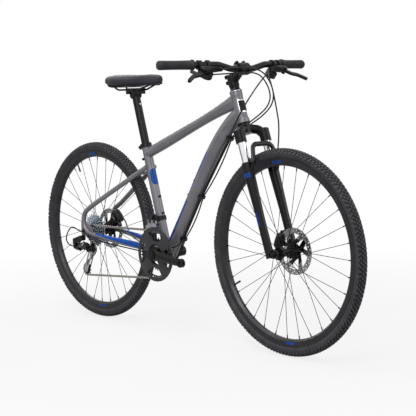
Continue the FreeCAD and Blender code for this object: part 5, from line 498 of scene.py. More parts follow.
PAINT_FRONT = front_paint()
PAINT_REAR = rear_paint()
LEGS = lowers_paint()
BLACK = satin_black("black_alloy")
BLACK_GLOSS = satin_black("black_gloss", (8, 8, 9), (14, 14, 16), rough=0.25, grain=500)
RAIL = satin_black("rail_black", (8, 8, 9), (14, 14, 15), rough=0.6, metal=0.0)
GUARD = satin_black("guard_grey", (44, 43, 46), (56, 55, 58), rough=0.45, metal=0.2)
STEEL = bright_metal("bright_steel", (150, 151, 154), (190, 191, 194), rough=0.3)
PLATE = bright_metal("plate_rim", (206, 207, 209), (226, 227, 229), rough=0.35)
DARK_STEEL = bright_metal("dark_steel", (84, 84, 86), (112, 112, 114), rough=0.38)
CHAIN_STEEL = bright_metal("chain_steel", (120, 118, 112), (186, 184, 178), rough=0.26, scale=500)
SPOKE = satin_black("spoke_steel", (6, 6, 7), (14, 14, 15), rough=0.5, metal=0.0, grain=900)
CHROME = bright_metal("stanchion_chrome", (222, 224, 228), (242, 243, 245), rough=0.12,
                      stretch=(1, 1, 0.05), scale=300, strength=0.03)
PLASTIC = moulded("black_plastic", (14, 14, 15), (22, 22, 23), rough=0.46)
CABLE = moulded("cable_jacket", (10, 10, 11), (18, 18, 19), rough=0.38, grain=1400, strength=0.08)
RUBBER = moulded("grip_rubber", (34, 34, 37), (46, 46, 49), rough=0.7, grain=700, strength=0.25)
# The carcass's near-black band between the knobs is painted shade.
CARCASS = tread_rubber("tyre_rubber", (42, 40, 44), (54, 52, 56), gap_shade=(12, 12, 13))
# The knobs' rubber is lighter than the carcass's: painted light on the knob tops.
TREAD = tread_rubber("tyre_knobs", (52, 51, 56), (66, 65, 70))
LEATHER = leather()
HEADSET = headset_finish()
WHITE = moulded("white_mark", (214, 214, 212), (226, 226, 224), rough=0.5)
THREAD = moulded("stitch_thread", (30, 30, 33), (44, 44, 48), rough=0.7, grain=1600, strength=0.2)
COGS = turned_metal("cog_steel", REAR_AXLE, (156, 164, 171), (204, 212, 219), rough=0.3)
RINGS = turned_metal("chainring_steel", BRACKET, (66, 66, 68), (104, 104, 106), rough=0.36)

FINISHES = {
    "frame_front_triangle": PAINT_FRONT, "frame_rear_triangle": PAINT_REAR, "headset_cups": HEADSET,
    "bottom_bracket_cups": BLACK, "seat_clamp": BLACK, "cable_guides": PLASTIC,
    "seatpost": BLACK, "saddle_clamp": BLACK, "saddle_rails": RAIL, "saddle_shell": PLASTIC,
    "fork_crown": BLACK_GLOSS, "fork_stanchions": CHROME, "fork_lowers": LEGS,
    "headset_spacers": BLACK, "stem": BLACK, "stem_faceplate": BLACK, "handlebar": BLACK,
    "brake_lever_brackets": BLACK, "right_brake_lever": BLACK, "left_brake_lever": BLACK,
    "shifter_pods": PLASTIC, "right_shift_lever": PLASTIC, "left_shift_lever": PLASTIC,
    "front_axle": BLACK, "front_hub": BLACK, "front_spokes": SPOKE, "front_rim": rim_finish("front", -0.08),
    "front_rotor": rotor_steel("front"), "front_caliper": BLACK,
    "rear_axle": BLACK, "rear_hub": BLACK, "rear_spokes": SPOKE, "rear_rim": rim_finish("rear", -0.06),
    "rear_rotor": rotor_steel("rear"), "rear_caliper": BLACK,
    "crank_spindle": STEEL, "right_crank_arm": BLACK_GLOSS, "left_crank_arm": BLACK_GLOSS,
    "large_chainring": RINGS, "small_chainring": RINGS, "chainring_guard": GUARD,
    "chain": CHAIN_STEEL, "cassette": COGS,
    "front_derailleur_clamp": BLACK, "front_derailleur_link": BLACK, "front_derailleur_cage": STEEL,
    "rear_derailleur_knuckle": BLACK, "rear_derailleur_outer_link": DARK_STEEL,
    "rear_derailleur_inner_link": BLACK, "rear_derailleur_cage_knuckle": BLACK,
    "rear_derailleur_cage": STEEL, "guide_pulley": PLASTIC, "tension_pulley": PLASTIC,
}


def dress(node, material):
    mesh = nodes[node].data
    mesh.materials.clear()
    mesh.materials.append(material)


# Mesh pieces

# A button-head bolt: shares of its radius and height; the last two rows are the hexagon socket
BOLT_PROFILE = ((1.0, -0.3), (1.0, 0.45), (0.93, 0.72), (0.78, 0.93), (0.62, 1.0), (0.52, 1.0), (0.52, 0.3))
BOLT_SOCKET_ROWS = (5, 6)
SHARP_ANGLE = math.radians(35)


def piece(name, points, faces, material, body=None, smooth=True):
    mesh = bpy.data.meshes.new(name)
    mesh.from_pydata([tuple(p) for p in points], [], faces)
    mesh.materials.append(material)
    mesh.polygons.foreach_set("use_smooth", [smooth] * len(mesh.polygons))
    mesh.update()
    made = bpy.data.objects.new(name, mesh)
    scene.collection.objects.link(made)
    if body:
        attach(made, body)
    return made


def grid_faces(rows, columns, closed_rows=False, closed_columns=True, start=0):
    """Quads over a grid of points stored row by row."""
    faces = []
    for i in range(rows if closed_rows else rows - 1):
        for j in range(columns if closed_columns else columns - 1):
            k = (j + 1) % columns
            low, high = start + i * columns, start + ((i + 1) % rows) * columns
            faces.append((low + j, low + k, high + k, high + j))
    return faces


def end_faces(rows, columns, start=0):
    """The two faces that close the ends of a tube stored row by row."""
    last = start + (rows - 1) * columns
    return [tuple(reversed(range(start, start + columns))), tuple(range(last, last + columns))]


def frame_of(axis):
    """Two directions square to an axis, and the axis."""
    axis = Vector(axis).normalized()
    first = axis.cross(Z if abs(axis.z) < 0.9 else X).normalized()
    return first, axis.cross(first).normalized(), axis


class Heap:
    """Points and faces of several small forms in one piece."""

    def __init__(self):
        self.points = []
        self.faces = []

    def lathe(self, foot, axis, profile, count=24, hexagon=()):
        """A turned form; profile is radius and height pairs, rows named in hexagon are six-sided."""
        first, second, along = frame_of(axis)
        start = len(self.points)
        for row, (radius, height) in enumerate(profile):
            for step in range(count):
                angle = round_angle(step, count)
                reach = radius
                if row in hexagon:
                    reach = radius * math.cos(math.pi / 6) / math.cos(angle % (math.pi / 3) - math.pi / 6)
                self.points.append(Vector(foot) + along * height
                                   + (first * math.cos(angle) + second * math.sin(angle)) * reach)
        self.faces += grid_faces(len(profile), count, start=start)
        self.faces.append(end_faces(len(profile), count, start)[1])

    def bolt(self, foot, axis, radius, height):
        """A button-head bolt with a hexagon socket."""
        profile = [(radius * out, height * up) for out, up in BOLT_PROFILE]
        self.lathe(foot, axis, profile, hexagon=BOLT_SOCKET_ROWS)

    def block(self, centre, along, across, up, sizes, taper=0.8):
        """A small block, narrower at its top and open below."""
        start = len(self.points)
        long, wide, high = sizes
        for height, share in ((0.0, 1.0), (1.0, taper)):
            for a, b in ((-1, -1), (1, -1), (1, 1), (-1, 1)):
                self.points.append(centre + along * (a * long / 2 * share)
                                   + across * (b * wide / 2 * share) + up * (height * high))
        self.faces += [tuple(start + i for i in face) for face in
                       ((4, 5, 6, 7), (0, 1, 5, 4), (1, 2, 6, 5), (2, 3, 7, 6), (3, 0, 4, 7))]

    def made(self, name, material, body, slot, smooth=True):
        made = piece(name, self.points, self.faces, material, body, smooth)
        made.data.set_sharp_from_angle(angle=SHARP_ANGLE)
        return made


def tube_mesh(name, line, radius, material, count=14):
    """A round tube along a line of points, with flat ends."""
    line = [Vector(p) for p in line]
    last = len(line) - 1
    headings = [(line[min(i + 1, last)] - line[max(i - 1, 0)]).normalized() for i in range(len(line))]
    side = frame_of(headings[0])[0]
    points = []
    for place, heading in zip(line, headings):
        side = (side - heading * side.dot(heading)).normalized()
        other = heading.cross(side)
        for step in range(count):
            angle = round_angle(step, count)
            points.append(place + (side * math.cos(angle) + other * math.sin(angle)) * radius)
    return piece(name, points, grid_faces(len(line), count) + end_faces(len(line), count), material)


# Cables: their corners, from the levers on the bar to the calipers and derailleurs

CABLE_RADIUS = 0.0025


def through(y, *guide):
    """Corners of a cable that runs at one distance beside the middle plane."""
    return [(x, y, z) for x, z in guide]


TOP_GUIDE = ((0.2708, 0.7360), (0.2628, 0.7271), (0.2548, 0.7182))
MIDDLE_GUIDE = ((0.1110, 0.5245), (0.1042, 0.5146), (0.0974, 0.5047))
LOW_GUIDE = ((0.0041, 0.3633), (-0.0025, 0.3533), (-0.0091, 0.3432))
UNDER_BRACKET = ((-0.0481, 0.2728), (-0.0970, 0.2640))
UPPER_SAG = ((0.2185, 0.6550), (0.1609, 0.5775))
LOWER_SAG = ((0.0753, 0.4584), (0.0380, 0.4018))

ROUTES = {
    "rear_brake_line": [
        (0.3488, -0.1094, 0.9659), (0.3720, -0.0400, 0.9748), (0.3900, 0.0330, 0.9628),
        (0.4095, 0.0580, 0.9178), (0.4110, 0.0705, 0.8718), (0.4015, 0.0625, 0.8348),
        (0.3720, 0.0440, 0.8018), (0.3370, 0.0340, 0.7808), (0.3020, 0.0240, 0.7570),
        *through(0.0075, *TOP_GUIDE, *UPPER_SAG, *MIDDLE_GUIDE, *LOWER_SAG, *LOW_GUIDE, *UNDER_BRACKET),
        (-0.1520, 0.0240, 0.2820), (-0.1920, 0.0350, 0.2930), (-0.2670, 0.0475, 0.3010),
        (-0.3370, 0.0600, 0.3090), (-0.4170, 0.0780, 0.3210), (-0.4570, 0.0900, 0.3470),
        (-0.4680, 0.0880, 0.3790), (-0.4660, 0.0760, 0.3930)],
    "rear_shift_line": [
        (0.3204, -0.1278, 0.9496), (0.3660, -0.0460, 0.9538), (0.3830, 0.0250, 0.9538),
        (0.4015, 0.0500, 0.9118), (0.4030, 0.0625, 0.8698), (0.3935, 0.0545, 0.8358),
        (0.3650, 0.0360, 0.8058), (0.3310, 0.0275, 0.7848), (0.2980, 0.0130, 0.7510),
        *through(0.0, *TOP_GUIDE, *MIDDLE_GUIDE, *LOW_GUIDE, *UNDER_BRACKET),
        (-0.1520, -0.0220, 0.2820), (-0.1920, -0.0350, 0.2930), (-0.2670, -0.0475, 0.3010),
        (-0.3370, -0.0610, 0.3090), (-0.4170, -0.0790, 0.3190), (-0.4820, -0.0920, 0.3450),
        (-0.5370, -0.0930, 0.3530), (-0.5910, -0.0900, 0.3710), (-0.6350, -0.0870, 0.3290),
        (-0.6420, -0.0830, 0.3020), (-0.6230, -0.0765, 0.2830), (-0.5913, -0.0720, 0.2850)],
    "front_shift_line": [
        (0.3204, 0.1278, 0.9496), (0.3715, 0.0660, 0.9418), (0.3755, 0.0140, 0.8978),
        (0.3560, -0.0280, 0.8318), (0.3130, -0.0310, 0.7698),
        *through(-0.0075, *TOP_GUIDE, *MIDDLE_GUIDE, *LOW_GUIDE),
        (-0.0220, -0.0220, 0.3260), (-0.0500, -0.0340, 0.3180), (-0.0850, -0.0360, 0.3500),
        (-0.1070, -0.0370, 0.3950), (-0.1178, -0.0400, 0.4380)],
    "front_brake_line": [
        (0.3488, 0.1094, 0.9659), (0.3750, 0.0750, 0.9548), (0.4050, 0.0680, 0.9018),
        (0.4130, 0.0780, 0.8318), (0.4150, 0.0900, 0.7618), (0.4052, 0.0770, 0.6063),
        (0.4334, 0.0770, 0.5103), (0.4530, 0.0660, 0.4430)],
}
CABLE_NODES = {
    "rear_brake_line": "rear_brake_hose", "rear_shift_line": "shift_cables",
    "front_shift_line": "shift_cables", "front_brake_line": "front_brake_hose",
}


def smooth_line(name):
    """Points of the smooth spline that a cable's corners control."""
    curve = bpy.data.curves.new(name + "_route", "CURVE")
    curve.dimensions = "3D"
    spline = curve.splines.new("NURBS")
    spline.points.add(len(ROUTES[name]) - 1)
    for point, place in zip(spline.points, ROUTES[name]):
        point.co = (*place, 1.0)
    spline.order_u = 3
    spline.use_endpoint_u = True
    spline.resolution_u = 10
    holder = bpy.data.objects.new(name + "_route", curve)
    scene.collection.objects.link(holder)
    bpy.context.view_layer.update()
    mesh = bpy.data.meshes.new_from_object(holder.evaluated_get(bpy.context.evaluated_depsgraph_get()))
    line = [v.co.copy() for v in mesh.vertices]
    bpy.data.objects.remove(holder)
    bpy.data.meshes.remove(mesh)
    return line


def make_cables():
    for name, node in CABLE_NODES.items():
        line = smooth_line(name)
        tube = tube_mesh(name, line, CABLE_RADIUS, CABLE)
        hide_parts(node)
        if name == "front_brake_line":
            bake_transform(tube)
        else:
            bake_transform(tube)


# Tyres with a fine knobbed tread

TYRE_MIDDLE = 0.3308
TYRE_ROUND = 0.0170
TYRE_WIDER = 1.07
TYRE_BEAD = [(0.3125, 0.0094), (0.3165, 0.0105), (0.3195, 0.0135)]
TYRE_ARC = 118
TYRE_ARC_STEPS = 24
TYRE_TURNS = 180
KNOB_HEIGHT = 0.0030
KNOB_SUNK = 0.0002
KNOB_SKEW = 0.35
KNOB_TAPER = 0.88
# Each row: lean from the middle, number, length, width and phase
KNOB_ROWS = [
    (0.0, 150, 0.0088, 0.0070, 0.0),
    (0.40, 150, 0.0084, 0.0052, 0.5), (-0.40, 150, 0.0084, 0.0052, 0.5),
    (0.78, 150, 0.0080, 0.0050, 0.0), (-0.78, 150, 0.0080, 0.0050, 0.0),
    (1.14, 120, 0.0112, 0.0070, 0.5), (-1.14, 120, 0.0112, 0.0070, 0.5)]
VALVE_ANGLES = {"front": -152, "rear": 118}
VALVE_FOOT = 0.2935
VALVE_PROFILE = [(0.0042, -0.002), (0.0042, 0.0015), (0.0031, 0.002), (0.0031, 0.02),
                 (0.0036, 0.0205), (0.0036, 0.034), (0.0026, 0.0362)]


def make_carcass(wheel, centre):
    profile = list(TYRE_BEAD)
    for step in range(TYRE_ARC_STEPS + 1):
        angle = math.radians(TYRE_ARC - step * 2 * TYRE_ARC / TYRE_ARC_STEPS)
        profile.append((TYRE_MIDDLE + TYRE_ROUND * math.cos(angle),
                        TYRE_ROUND * TYRE_WIDER * math.sin(angle)))
    profile += [(radius, -wide) for radius, wide in reversed(TYRE_BEAD)]
    points = []
    for step in range(TYRE_TURNS):
        out = wheel_out(round_angle(step, TYRE_TURNS))
        points += [centre + out * radius + Y * wide for radius, wide in profile]
    faces = [tuple(reversed(f)) for f in grid_faces(TYRE_TURNS, len(profile), closed_rows=True)]
    carcass = piece(wheel + "_tyre_carcass", points, faces, CARCASS, wheel + "_wheel")
    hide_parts(wheel + "_tyre")


def make_knobs(wheel, centre):
    heap = Heap()
    for lean, count, long, wide, phase in KNOB_ROWS:
        skew = KNOB_SKEW * ((lean > 0) - (lean < 0))
        for step in range(count):
            angle = round_angle(step + phase, count)
            out = wheel_out(angle)
            forward = Vector((-math.sin(angle), 0, math.cos(angle)))
            up = out * math.cos(lean) + Y * math.sin(lean)
            across = Y * math.cos(lean) - out * math.sin(lean)
            along = (forward + across * skew).normalized()
            foot = centre + out * (TYRE_MIDDLE + TYRE_ROUND * math.cos(lean) - 2 * KNOB_SUNK)
            foot += Y * (TYRE_ROUND * TYRE_WIDER * math.sin(lean)) - up * KNOB_SUNK
            heap.block(foot, along, along.cross(up), up, (long, wide, KNOB_HEIGHT + KNOB_SUNK),
                       KNOB_TAPER)
    heap.made(wheel + "_tyre_knobs", TREAD, wheel + "_wheel", "tyre_rubber", False)


def make_valve(wheel, centre):
    valve = Heap()
    out = wheel_out(math.radians(VALVE_ANGLES[wheel]))
    valve.lathe(centre + out * VALVE_FOOT, -out, VALVE_PROFILE, 20)
    valve.made(wheel + "_valve", PLASTIC, wheel + "_wheel", "black_plastic")


# Grips with a diamond tread, measured from the inner end

GRIP_LENGTH = 0.132
GRIP_ON_BAR = 0.128
COLLAR_END, COLLAR_RADIUS = 0.005, 0.0183
NECK_END, NECK_RADIUS = 0.010, 0.0160
GRIP_RADIUS, GRIP_WAIST = 0.0158, 0.0007
GRIP_END_ROUNDING = 0.002
TREAD_START, TREAD_END = 0.0135, 0.124
TREAD_DEPTH, TREAD_TURNS, TREAD_PITCH, TREAD_SHARP = 0.0013, 7, 440, 2.4
GRIP_ROWS, GRIP_COUNT = 150, 72
BAR_END = Vector((0.2877, 0.3320, 0.9822))
BAR_INNER = Vector((0.3272, 0.1080, 0.9822))


def grip_radius(height):
    if height < COLLAR_END:
        return COLLAR_RADIUS
    if height < NECK_END:
        return NECK_RADIUS
    body = GRIP_ON_BAR - NECK_END
    radius = GRIP_RADIUS - GRIP_WAIST * math.sin(math.pi * (height - NECK_END) / body)
    if height > GRIP_ON_BAR:
        radius -= GRIP_END_ROUNDING * (height - GRIP_ON_BAR) / (GRIP_LENGTH - GRIP_ON_BAR)
    return radius


def grip_cut(height, angle):
    """Depth of the diamond tread's grooves."""
    if not TREAD_START < height < TREAD_END:
        return 0.0
    waves = [abs(math.sin(TREAD_TURNS * angle + hand * height * TREAD_PITCH)) for hand in (1, -1)]
    return TREAD_DEPTH * max(0.0, 1 - TREAD_SHARP * min(waves))


def make_grips():
    points, faces = [], []
    for side in (1, -1):
        end, inner = (Vector((p.x, side * p.y, p.z)) for p in (BAR_END, BAR_INNER))
        out = (end - inner).normalized()
        first, second, along = frame_of(out)
        foot = end - out * GRIP_ON_BAR
        start = len(points)
        for row in range(GRIP_ROWS + 1):
            height = GRIP_LENGTH * row / GRIP_ROWS
            for step in range(GRIP_COUNT):
                angle = round_angle(step, GRIP_COUNT)
                reach = grip_radius(height) - grip_cut(height, angle)
                points.append(foot + along * height
                              + (first * math.cos(angle) + second * math.sin(angle)) * reach)
        faces += grid_faces(GRIP_ROWS + 1, GRIP_COUNT, start=start)
        faces += end_faces(GRIP_ROWS + 1, GRIP_COUNT, start)
    grips = piece("grip_pair", points, faces, RUBBER, "steering")
    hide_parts("grips")


# Saddle

# Share of the length, then shares of the half width, of the top's height and of the foot's height
SADDLE = np.array([
    (0.0, 0.36, 0.86, 0.66), (0.03, 0.74, 0.93, 0.5), (0.1, 0.96, 0.98, 0.32), (0.22, 1.0, 1.0, 0.22),
    (0.35, 0.88, 0.97, 0.25), (0.5, 0.6, 0.95, 0.32), (0.65, 0.4, 0.95, 0.36), (0.8, 0.3, 0.95, 0.37),
    (0.93, 0.25, 0.91, 0.37), (0.98, 0.19, 0.84, 0.42), (1.0, 0.09, 0.76, 0.54)])
SADDLE_BACK, SADDLE_LENGTH = -0.389, 0.277
SADDLE_HALF = 0.075
SADDLE_HEIGHT = 0.055
SADDLE_TOP_BASE, SADDLE_FOOT_BASE = 0.909, 0.9055
SADDLE_WAIST = 0.45
CROWN_ACROSS, CROWN_RISE = 0.72, 0.9
FLANK_ACROSS, FLANK_DROP = 0.5, 0.6
DIP_DEPTH, DIP_WIDTH = 0.0022, 0.009
DIP_START, DIP_END, DIP_FADE = 0.12, 0.8, 0.12
SEAM_RISE, SEAM_HALF, SEAM_PULL = 0.42, 0.06, 0.0007
STITCH_RISE = 0.10
STITCH_WIDE, STITCH_TALL, STITCH_SUNK = 0.0007, 0.0010, 0.0006
STITCH_LONG, STITCH_TAPER = 0.6, 0.7
STITCH_OUT, STITCH_UP = 0.6, 0.8
SADDLE_ROWS, SADDLE_COUNT = 90, 96
SADDLE_EVEN_SHARE = 0.35
SEAM_ROWS = slice(6, SADDLE_ROWS - 4)


def saddle_ring(along):
    """Section of the cover at a share of the length: foot, flank, seam and crowned top."""
    wide, high, low = (np.interp(along, SADDLE[:, 0], SADDLE[:, k]) for k in (1, 2, 3))
    x = SADDLE_BACK + SADDLE_LENGTH * along
    half = SADDLE_HALF * wide
    top = SADDLE_TOP_BASE + SADDLE_HEIGHT * high
    foot = SADDLE_FOOT_BASE + SADDLE_HEIGHT * low
    waist = foot + (top - foot) * SADDLE_WAIST
    dip = DIP_DEPTH * min(1.0, max(0.0, min(along - DIP_START, DIP_END - along) / DIP_FADE))
    ring = []
    for step in range(SADDLE_COUNT):
        turn = round_angle(step, SADDLE_COUNT)
        across, rise = math.cos(turn), math.sin(turn)
        y = half * math.copysign(abs(across) ** (CROWN_ACROSS if rise > 0 else FLANK_ACROSS), across)
        if rise >= 0:
            z = waist + (top - waist) * abs(rise) ** CROWN_RISE - dip * math.exp(-(y / DIP_WIDTH) ** 2)
        else:
            z = waist - (waist - foot) * abs(rise) ** FLANK_DROP
        pull = SEAM_PULL * max(0.0, 1 - abs(rise - SEAM_RISE) / SEAM_HALF)
        ring.append(Vector((x, y - math.copysign(pull, y), z - pull)))
    return ring


def make_saddle():
    rings = []
    for row in range(SADDLE_ROWS + 1):
        even = row / SADDLE_ROWS
        closer_at_ends = 0.5 - 0.5 * math.cos(math.pi * even)
        rings.append(saddle_ring(SADDLE_EVEN_SHARE * even + (1 - SADDLE_EVEN_SHARE) * closer_at_ends))
    points = [p for ring in rings for p in ring]
    faces = grid_faces(len(rings), SADDLE_COUNT) + end_faces(len(rings), SADDLE_COUNT)
    cover = piece("saddle_cover", points, faces, LEATHER, "saddle")
    smoother = cover.modifiers.new("soften", "SMOOTH")
    smoother.factor = 0.5
    smoother.iterations = 6
    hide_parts("saddle_padding")
    make_stitches(rings)


def make_stitches(rings):
    """Stitches in a row just above the seam on either side."""
    heap = Heap()
    step = round(SADDLE_COUNT * math.asin(SEAM_RISE + STITCH_RISE) / (2 * math.pi))
    for column in (step, SADDLE_COUNT // 2 - step):
        line = [ring[column] for ring in rings[SEAM_ROWS]]
        for before, after in zip(line, line[1:]):
            along = (after - before).normalized()
            up = Vector((0, math.copysign(STITCH_OUT, before.y), STITCH_UP))
            sizes = ((after - before).length * STITCH_LONG, STITCH_WIDE, STITCH_TALL)
            heap.block((before + after) / 2 - up * STITCH_SUNK, along, along.cross(up).normalized(), up,
                       sizes, STITCH_TAPER)
    heap.made("saddle_stitching", THREAD, "saddle", "saddle_cover")


# Bolts, plates and other small trim; a bolt is its head's radius and height

DOWN_TUBE_OUT = Vector((-0.8342, 0, 0.5515))
BOTTLE_BOLTS = (
    ((-0.11984, 0, 0.44341), SEAT_X), ((-0.13737, 0, 0.50496), SEAT_X),
    ((0.03137, 0, 0.51905), DOWN_TUBE_OUT), ((0.06666, 0, 0.57244), DOWN_TUBE_OUT))
BOTTLE_BOLT = (0.0046, 0.0058)
SEAT_BOLT = (0.0052, 0.0085)
SEAT_BOLT_HEIGHT, SEAT_BOLT_REACH = 0.366, 0.0172
SEAT_BOLT_SIDE, SEAT_BOLT_BACK = 0.75, 0.66
BAR_MIDDLE = Vector((0.32719, 0, 0.96766))
FACE_LUG, FACE_LUG_TAPER, FACE_LUG_AHEAD = (0.017, 0.011, 0.0100), 0.9, 0.0050
FACE_BOLT = (0.0042, 0.0042)
FACE_BOLT_SIDE, FACE_BOLT_RISE = 0.0155, 0.0150
FACE_BOLT_AHEAD, FACE_BOLT_LIFT = 0.0128, 0.0052
CAP_BOLT, CAP_BOLT_SUNK = (0.0065, 0.004), 0.004
PINCH_LUG, PINCH_LUG_DROP, PINCH_LUG_BACK = (0.014, 0.020, 0.012), 0.006, 0.0190
PINCH_BOLT, PINCH_BOLT_SIDE, PINCH_BOLT_BACK = (0.0046, 0.0044), 0.0100, 0.0195
PINCH_BOLT_HEIGHTS = (0.153, 0.174)
POST_MARK_HEIGHT, POST_MARK_REACH = 0.574, 0.0148
POST_MARK_PROFILE = [(0.0036, -0.001), (0.0036, 0.0008), (0.003, 0.001)]
ROTOR_BOLT = (0.0036, 0.0024)
ROTOR_BOLT_COUNT, ROTOR_BOLT_CIRCLE = 6, 0.022
WEB_OUTLINE = [(-0.5745, 0.3030), (-0.5480, 0.3045), (-0.5360, 0.3150), (-0.5560, 0.3190),
               (-0.5780, 0.3130)]
WEB_SIDES = (-0.0890, -0.0790)
CRANK_CAP_FACES = ((-1, 0.084), (1, 0.074))
CRANK_CAP_PROFILE = [(0.0115, -0.001), (0.0115, 0.0008), (0.0105, 0.0016), (0.007, 0.0018),
                     (0.0062, 0.0006), (0.004, 0.0006)]
PLATE_HEIGHT, PLATE_RADIUS, PLATE_TUCK = 0.058, 0.0203, 0.0008
PLATE_WRAP = 0.0205
PLATE_ROWS, PLATE_COLUMNS = 9, 21


def make_frame_bolts():
    """Bottle bolts, and two bolts behind the seat tube."""
    bolts = Heap()
    for place, axis in BOTTLE_BOLTS:
        bolts.bolt(place, axis, *BOTTLE_BOLT)
    for side in (-1, 1):
        out = (Y * (side * SEAT_BOLT_SIDE) - SEAT_X * SEAT_BOLT_BACK).normalized()
        bolts.bolt(BRACKET + SEAT_Z * SEAT_BOLT_HEIGHT + out * SEAT_BOLT_REACH, out, *SEAT_BOLT)
    bolts.made("frame_bolts", BLACK, "frame", "black_alloy")


def make_stem_bolts():
    """Faceplate lugs and bolts, the cap's bolt, and the pinch bolts with their lugs behind the stem."""
    face_low, face_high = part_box("stem_faceplate")
    ahead = ((face_low + face_high) / 2 - BAR_MIDDLE).normalized()
    up = ahead.cross(Y).normalized()
    up = up if up.z > 0 else -up
    bolts = Heap()
    for side in (-1, 1):
        for rise in (-1, 1):
            spot = BAR_MIDDLE + Y * (side * FACE_BOLT_SIDE) + up * (rise * FACE_BOLT_RISE)
            bolts.block(spot + ahead * FACE_LUG_AHEAD, ahead, Y, up * rise, FACE_LUG, FACE_LUG_TAPER)
            bolts.bolt(spot + ahead * FACE_BOLT_AHEAD + up * (rise * FACE_BOLT_LIFT), ahead, *FACE_BOLT)
    cap_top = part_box("headset_spacers")[1].z
    top = STEER_BASE + STEER_Z * ((Vector((STEER_BASE.x, 0, cap_top)) - STEER_BASE).dot(STEER_Z))
    bolts.bolt(top - STEER_Z * CAP_BOLT_SUNK, STEER_Z, *CAP_BOLT)
    for height in PINCH_BOLT_HEIGHTS:
        level = STEER_BASE + STEER_Z * height
        bolts.block(level - STEER_Z * PINCH_LUG_DROP - STEER_X * PINCH_LUG_BACK, STEER_X, Y, STEER_Z,
                    PINCH_LUG, 1.0)
        for side in (-1, 1):
            bolts.bolt(level - STEER_X * PINCH_BOLT_BACK + Y * (side * PINCH_BOLT_SIDE), Y * side,
                       *PINCH_BOLT)
    bolts.made("stem_bolts", BLACK, "steering", "black_alloy")


def make_post_mark():
    mark = Heap()
    place = BRACKET + SEAT_Z * POST_MARK_HEIGHT + SEAT_X * POST_MARK_REACH
    mark.lathe(place, SEAT_X, POST_MARK_PROFILE)
    mark.made("post_mark", WHITE, "seatpost", "black_alloy")


def make_rotor_bolts(wheel, centre):
    rotor_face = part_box(wheel + "_rotor")[1].y
    bolts = Heap()
    for step in range(ROTOR_BOLT_COUNT):
        angle = round_angle(step + 0.5, ROTOR_BOLT_COUNT)
        spot = centre + wheel_out(angle) * ROTOR_BOLT_CIRCLE
        bolts.bolt(Vector((spot.x, rotor_face, spot.z)), Y, *ROTOR_BOLT)
    bolts.made(wheel + "_rotor_bolts", DARK_STEEL, wheel + "_wheel", "bright_steel")


def make_derailleur_web():
    """A web that fills the rear derailleur's arm."""
    count = len(WEB_OUTLINE)
    corners = [Vector((x, y, z)) for y in WEB_SIDES for x, z in WEB_OUTLINE]
    faces = grid_faces(2, count) + end_faces(2, count)
    piece("derailleur_web", corners, faces, BLACK, "frame", False)


def make_crank_caps():
    caps = Heap()
    for side, face in CRANK_CAP_FACES:
        caps.lathe(BRACKET + Y * (side * face), Y * side, CRANK_CAP_PROFILE, 32)
    caps.made("crank_caps", BLACK, "crank", "black_alloy")


def make_plate(name, half_width, half_height, lift, material, slot):
    """A plain plate bent round the front of the head tube, its edges tucked into the tube."""
    heap = Heap()
    for row in range(PLATE_ROWS):
        for column in range(PLATE_COLUMNS):
            u = -1 + 2 * row / (PLATE_ROWS - 1)
            w = -1 + 2 * column / (PLATE_COLUMNS - 1)
            angle = w * half_width / PLATE_WRAP
            radius = PLATE_RADIUS + (lift if max(abs(u), abs(w)) < 0.99 else -PLATE_TUCK)
            heap.points.append(STEER_BASE + STEER_Z * (PLATE_HEIGHT + u * half_height)
                               + STEER_X * (radius * math.cos(angle)) + Y * (radius * math.sin(angle)))
    heap.faces = grid_faces(PLATE_ROWS, PLATE_COLUMNS, closed_columns=False)
    heap.made(name, material, "frame", slot)


def make_trim():
    make_frame_bolts()
    make_stem_bolts()
    make_post_mark()
    for wheel, centre in WHEELS.items():
        make_rotor_bolts(wheel, centre)
    make_derailleur_web()
    make_crank_caps()
    make_plate("head_plate_rim", 0.0205, 0.0255, 0.0010, PLATE, "bright_steel")
    make_plate("head_plate", 0.0182, 0.0225, 0.0016, BLACK, "black_alloy")


# Floor and light

FLOOR_HALF, FLOOR_DROP = 30.0, -0.0008
FLOOR_GREYS = ((0.5, 0.5, 0.5, 1), (0.53, 0.53, 0.53, 1))
PURE_WHITE = (1, 1, 1, 1)
WORLD_LIGHT, WORLD_SEEN = 0.42, 1.0
# Each lamp: place, height of the point it faces, power and size
LAMPS = {
    "key": ((2.0, -3.2, 3.8), 0.5, 145, 2.2),
    "fill": ((3.8, 2.0, 2.0), 0.5, 40, 2.4),
    "top": ((-0.6, -0.6, 4.0), 0.4, 85, 2.6),
    "back": ((-3.4, 1.6, 2.4), 0.5, 40, 2.2),
}


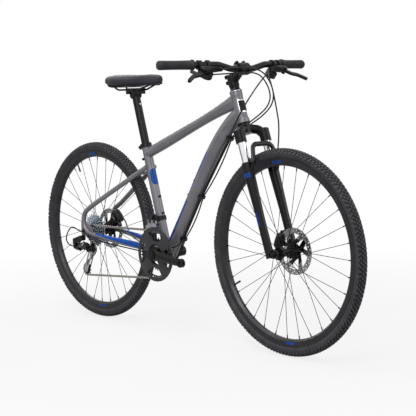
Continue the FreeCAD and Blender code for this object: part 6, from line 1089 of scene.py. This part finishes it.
def make_floor():
    """A pale floor that keeps the bike's shadow and shows white further out."""
    shader = Shader("floor")
    shader.set(Roughness=0.9, Specular_IOR_Level=0.0)
    tone = shader.mix(shader.range(shader.noise(1.5, detail=2.0), 0.3, 0.7), *FLOOR_GREYS)
    shader.link(tone, shader.surface.inputs["Base Color"])
    white = shader.tree.nodes.new("ShaderNodeEmission")
    white.inputs["Color"].default_value = PURE_WHITE
    seen = shader.tree.nodes.new("ShaderNodeLightPath").outputs["Is Camera Ray"]
    reach = shader.hypot(shader.x, shader.y)
    share = shader.math("MULTIPLY", seen, shader.range(reach, 0.9, 2.4, 0.8, 1.0))
    blend = shader.tree.nodes.new("ShaderNodeMixShader")
    for source, target in zip((share, shader.surface.outputs[0], white.outputs[0]), blend.inputs):
        shader.link(source, target)
    shader.link(blend.outputs[0], shader.tree.nodes["Material Output"].inputs["Surface"])
    corners = [(a * FLOOR_HALF, b * FLOOR_HALF, FLOOR_DROP)
               for a, b in ((-1, -1), (1, -1), (1, 1), (-1, 1))]
    piece("floor", corners, [(0, 1, 2, 3)], shader.material)


def make_world():
    """White where the camera, metal and clear parts see it, and dimmer as light."""
    world = bpy.data.worlds.new("studio")
    scene.world = world
    world.use_nodes = True
    tree = world.node_tree
    back = tree.nodes["Background"]
    back.inputs["Color"].default_value = PURE_WHITE
    path = tree.nodes.new("ShaderNodeLightPath")
    seen = path.outputs["Is Camera Ray"]
    for ray in ("Is Glossy Ray", "Is Transmission Ray"):
        either = tree.nodes.new("ShaderNodeMath")
        either.operation = "MAXIMUM"
        tree.links.new(seen, either.inputs[0])
        tree.links.new(path.outputs[ray], either.inputs[1])
        seen = either.outputs[0]
    level = tree.nodes.new("ShaderNodeMapRange")
    level.inputs["To Min"].default_value = WORLD_LIGHT
    level.inputs["To Max"].default_value = WORLD_SEEN
    tree.links.new(seen, level.inputs["Value"])
    tree.links.new(level.outputs[0], back.inputs["Strength"])


def make_lamps():
    for name, (place, aim_height, energy, size) in LAMPS.items():
        lamp = bpy.data.objects.new(name, bpy.data.lights.new(name, "AREA"))
        lamp.data.energy = energy
        lamp.data.size = size
        lamp.location = place
        lamp.rotation_mode = "QUATERNION"
        lamp.rotation_quaternion = (Z * aim_height - Vector(place)).to_track_quat("-Z", "Y")
        scene.collection.objects.link(lamp)


make_camera()
make_cables()
for node_name, finish in FINISHES.items():
    dress(node_name, finish)
for wheel_name, hub_centre in WHEELS.items():
    make_carcass(wheel_name, hub_centre)
    make_knobs(wheel_name, hub_centre)
    make_valve(wheel_name, hub_centre)
make_grips()
make_saddle()
make_trim()
make_floor()
make_world()
make_lamps()
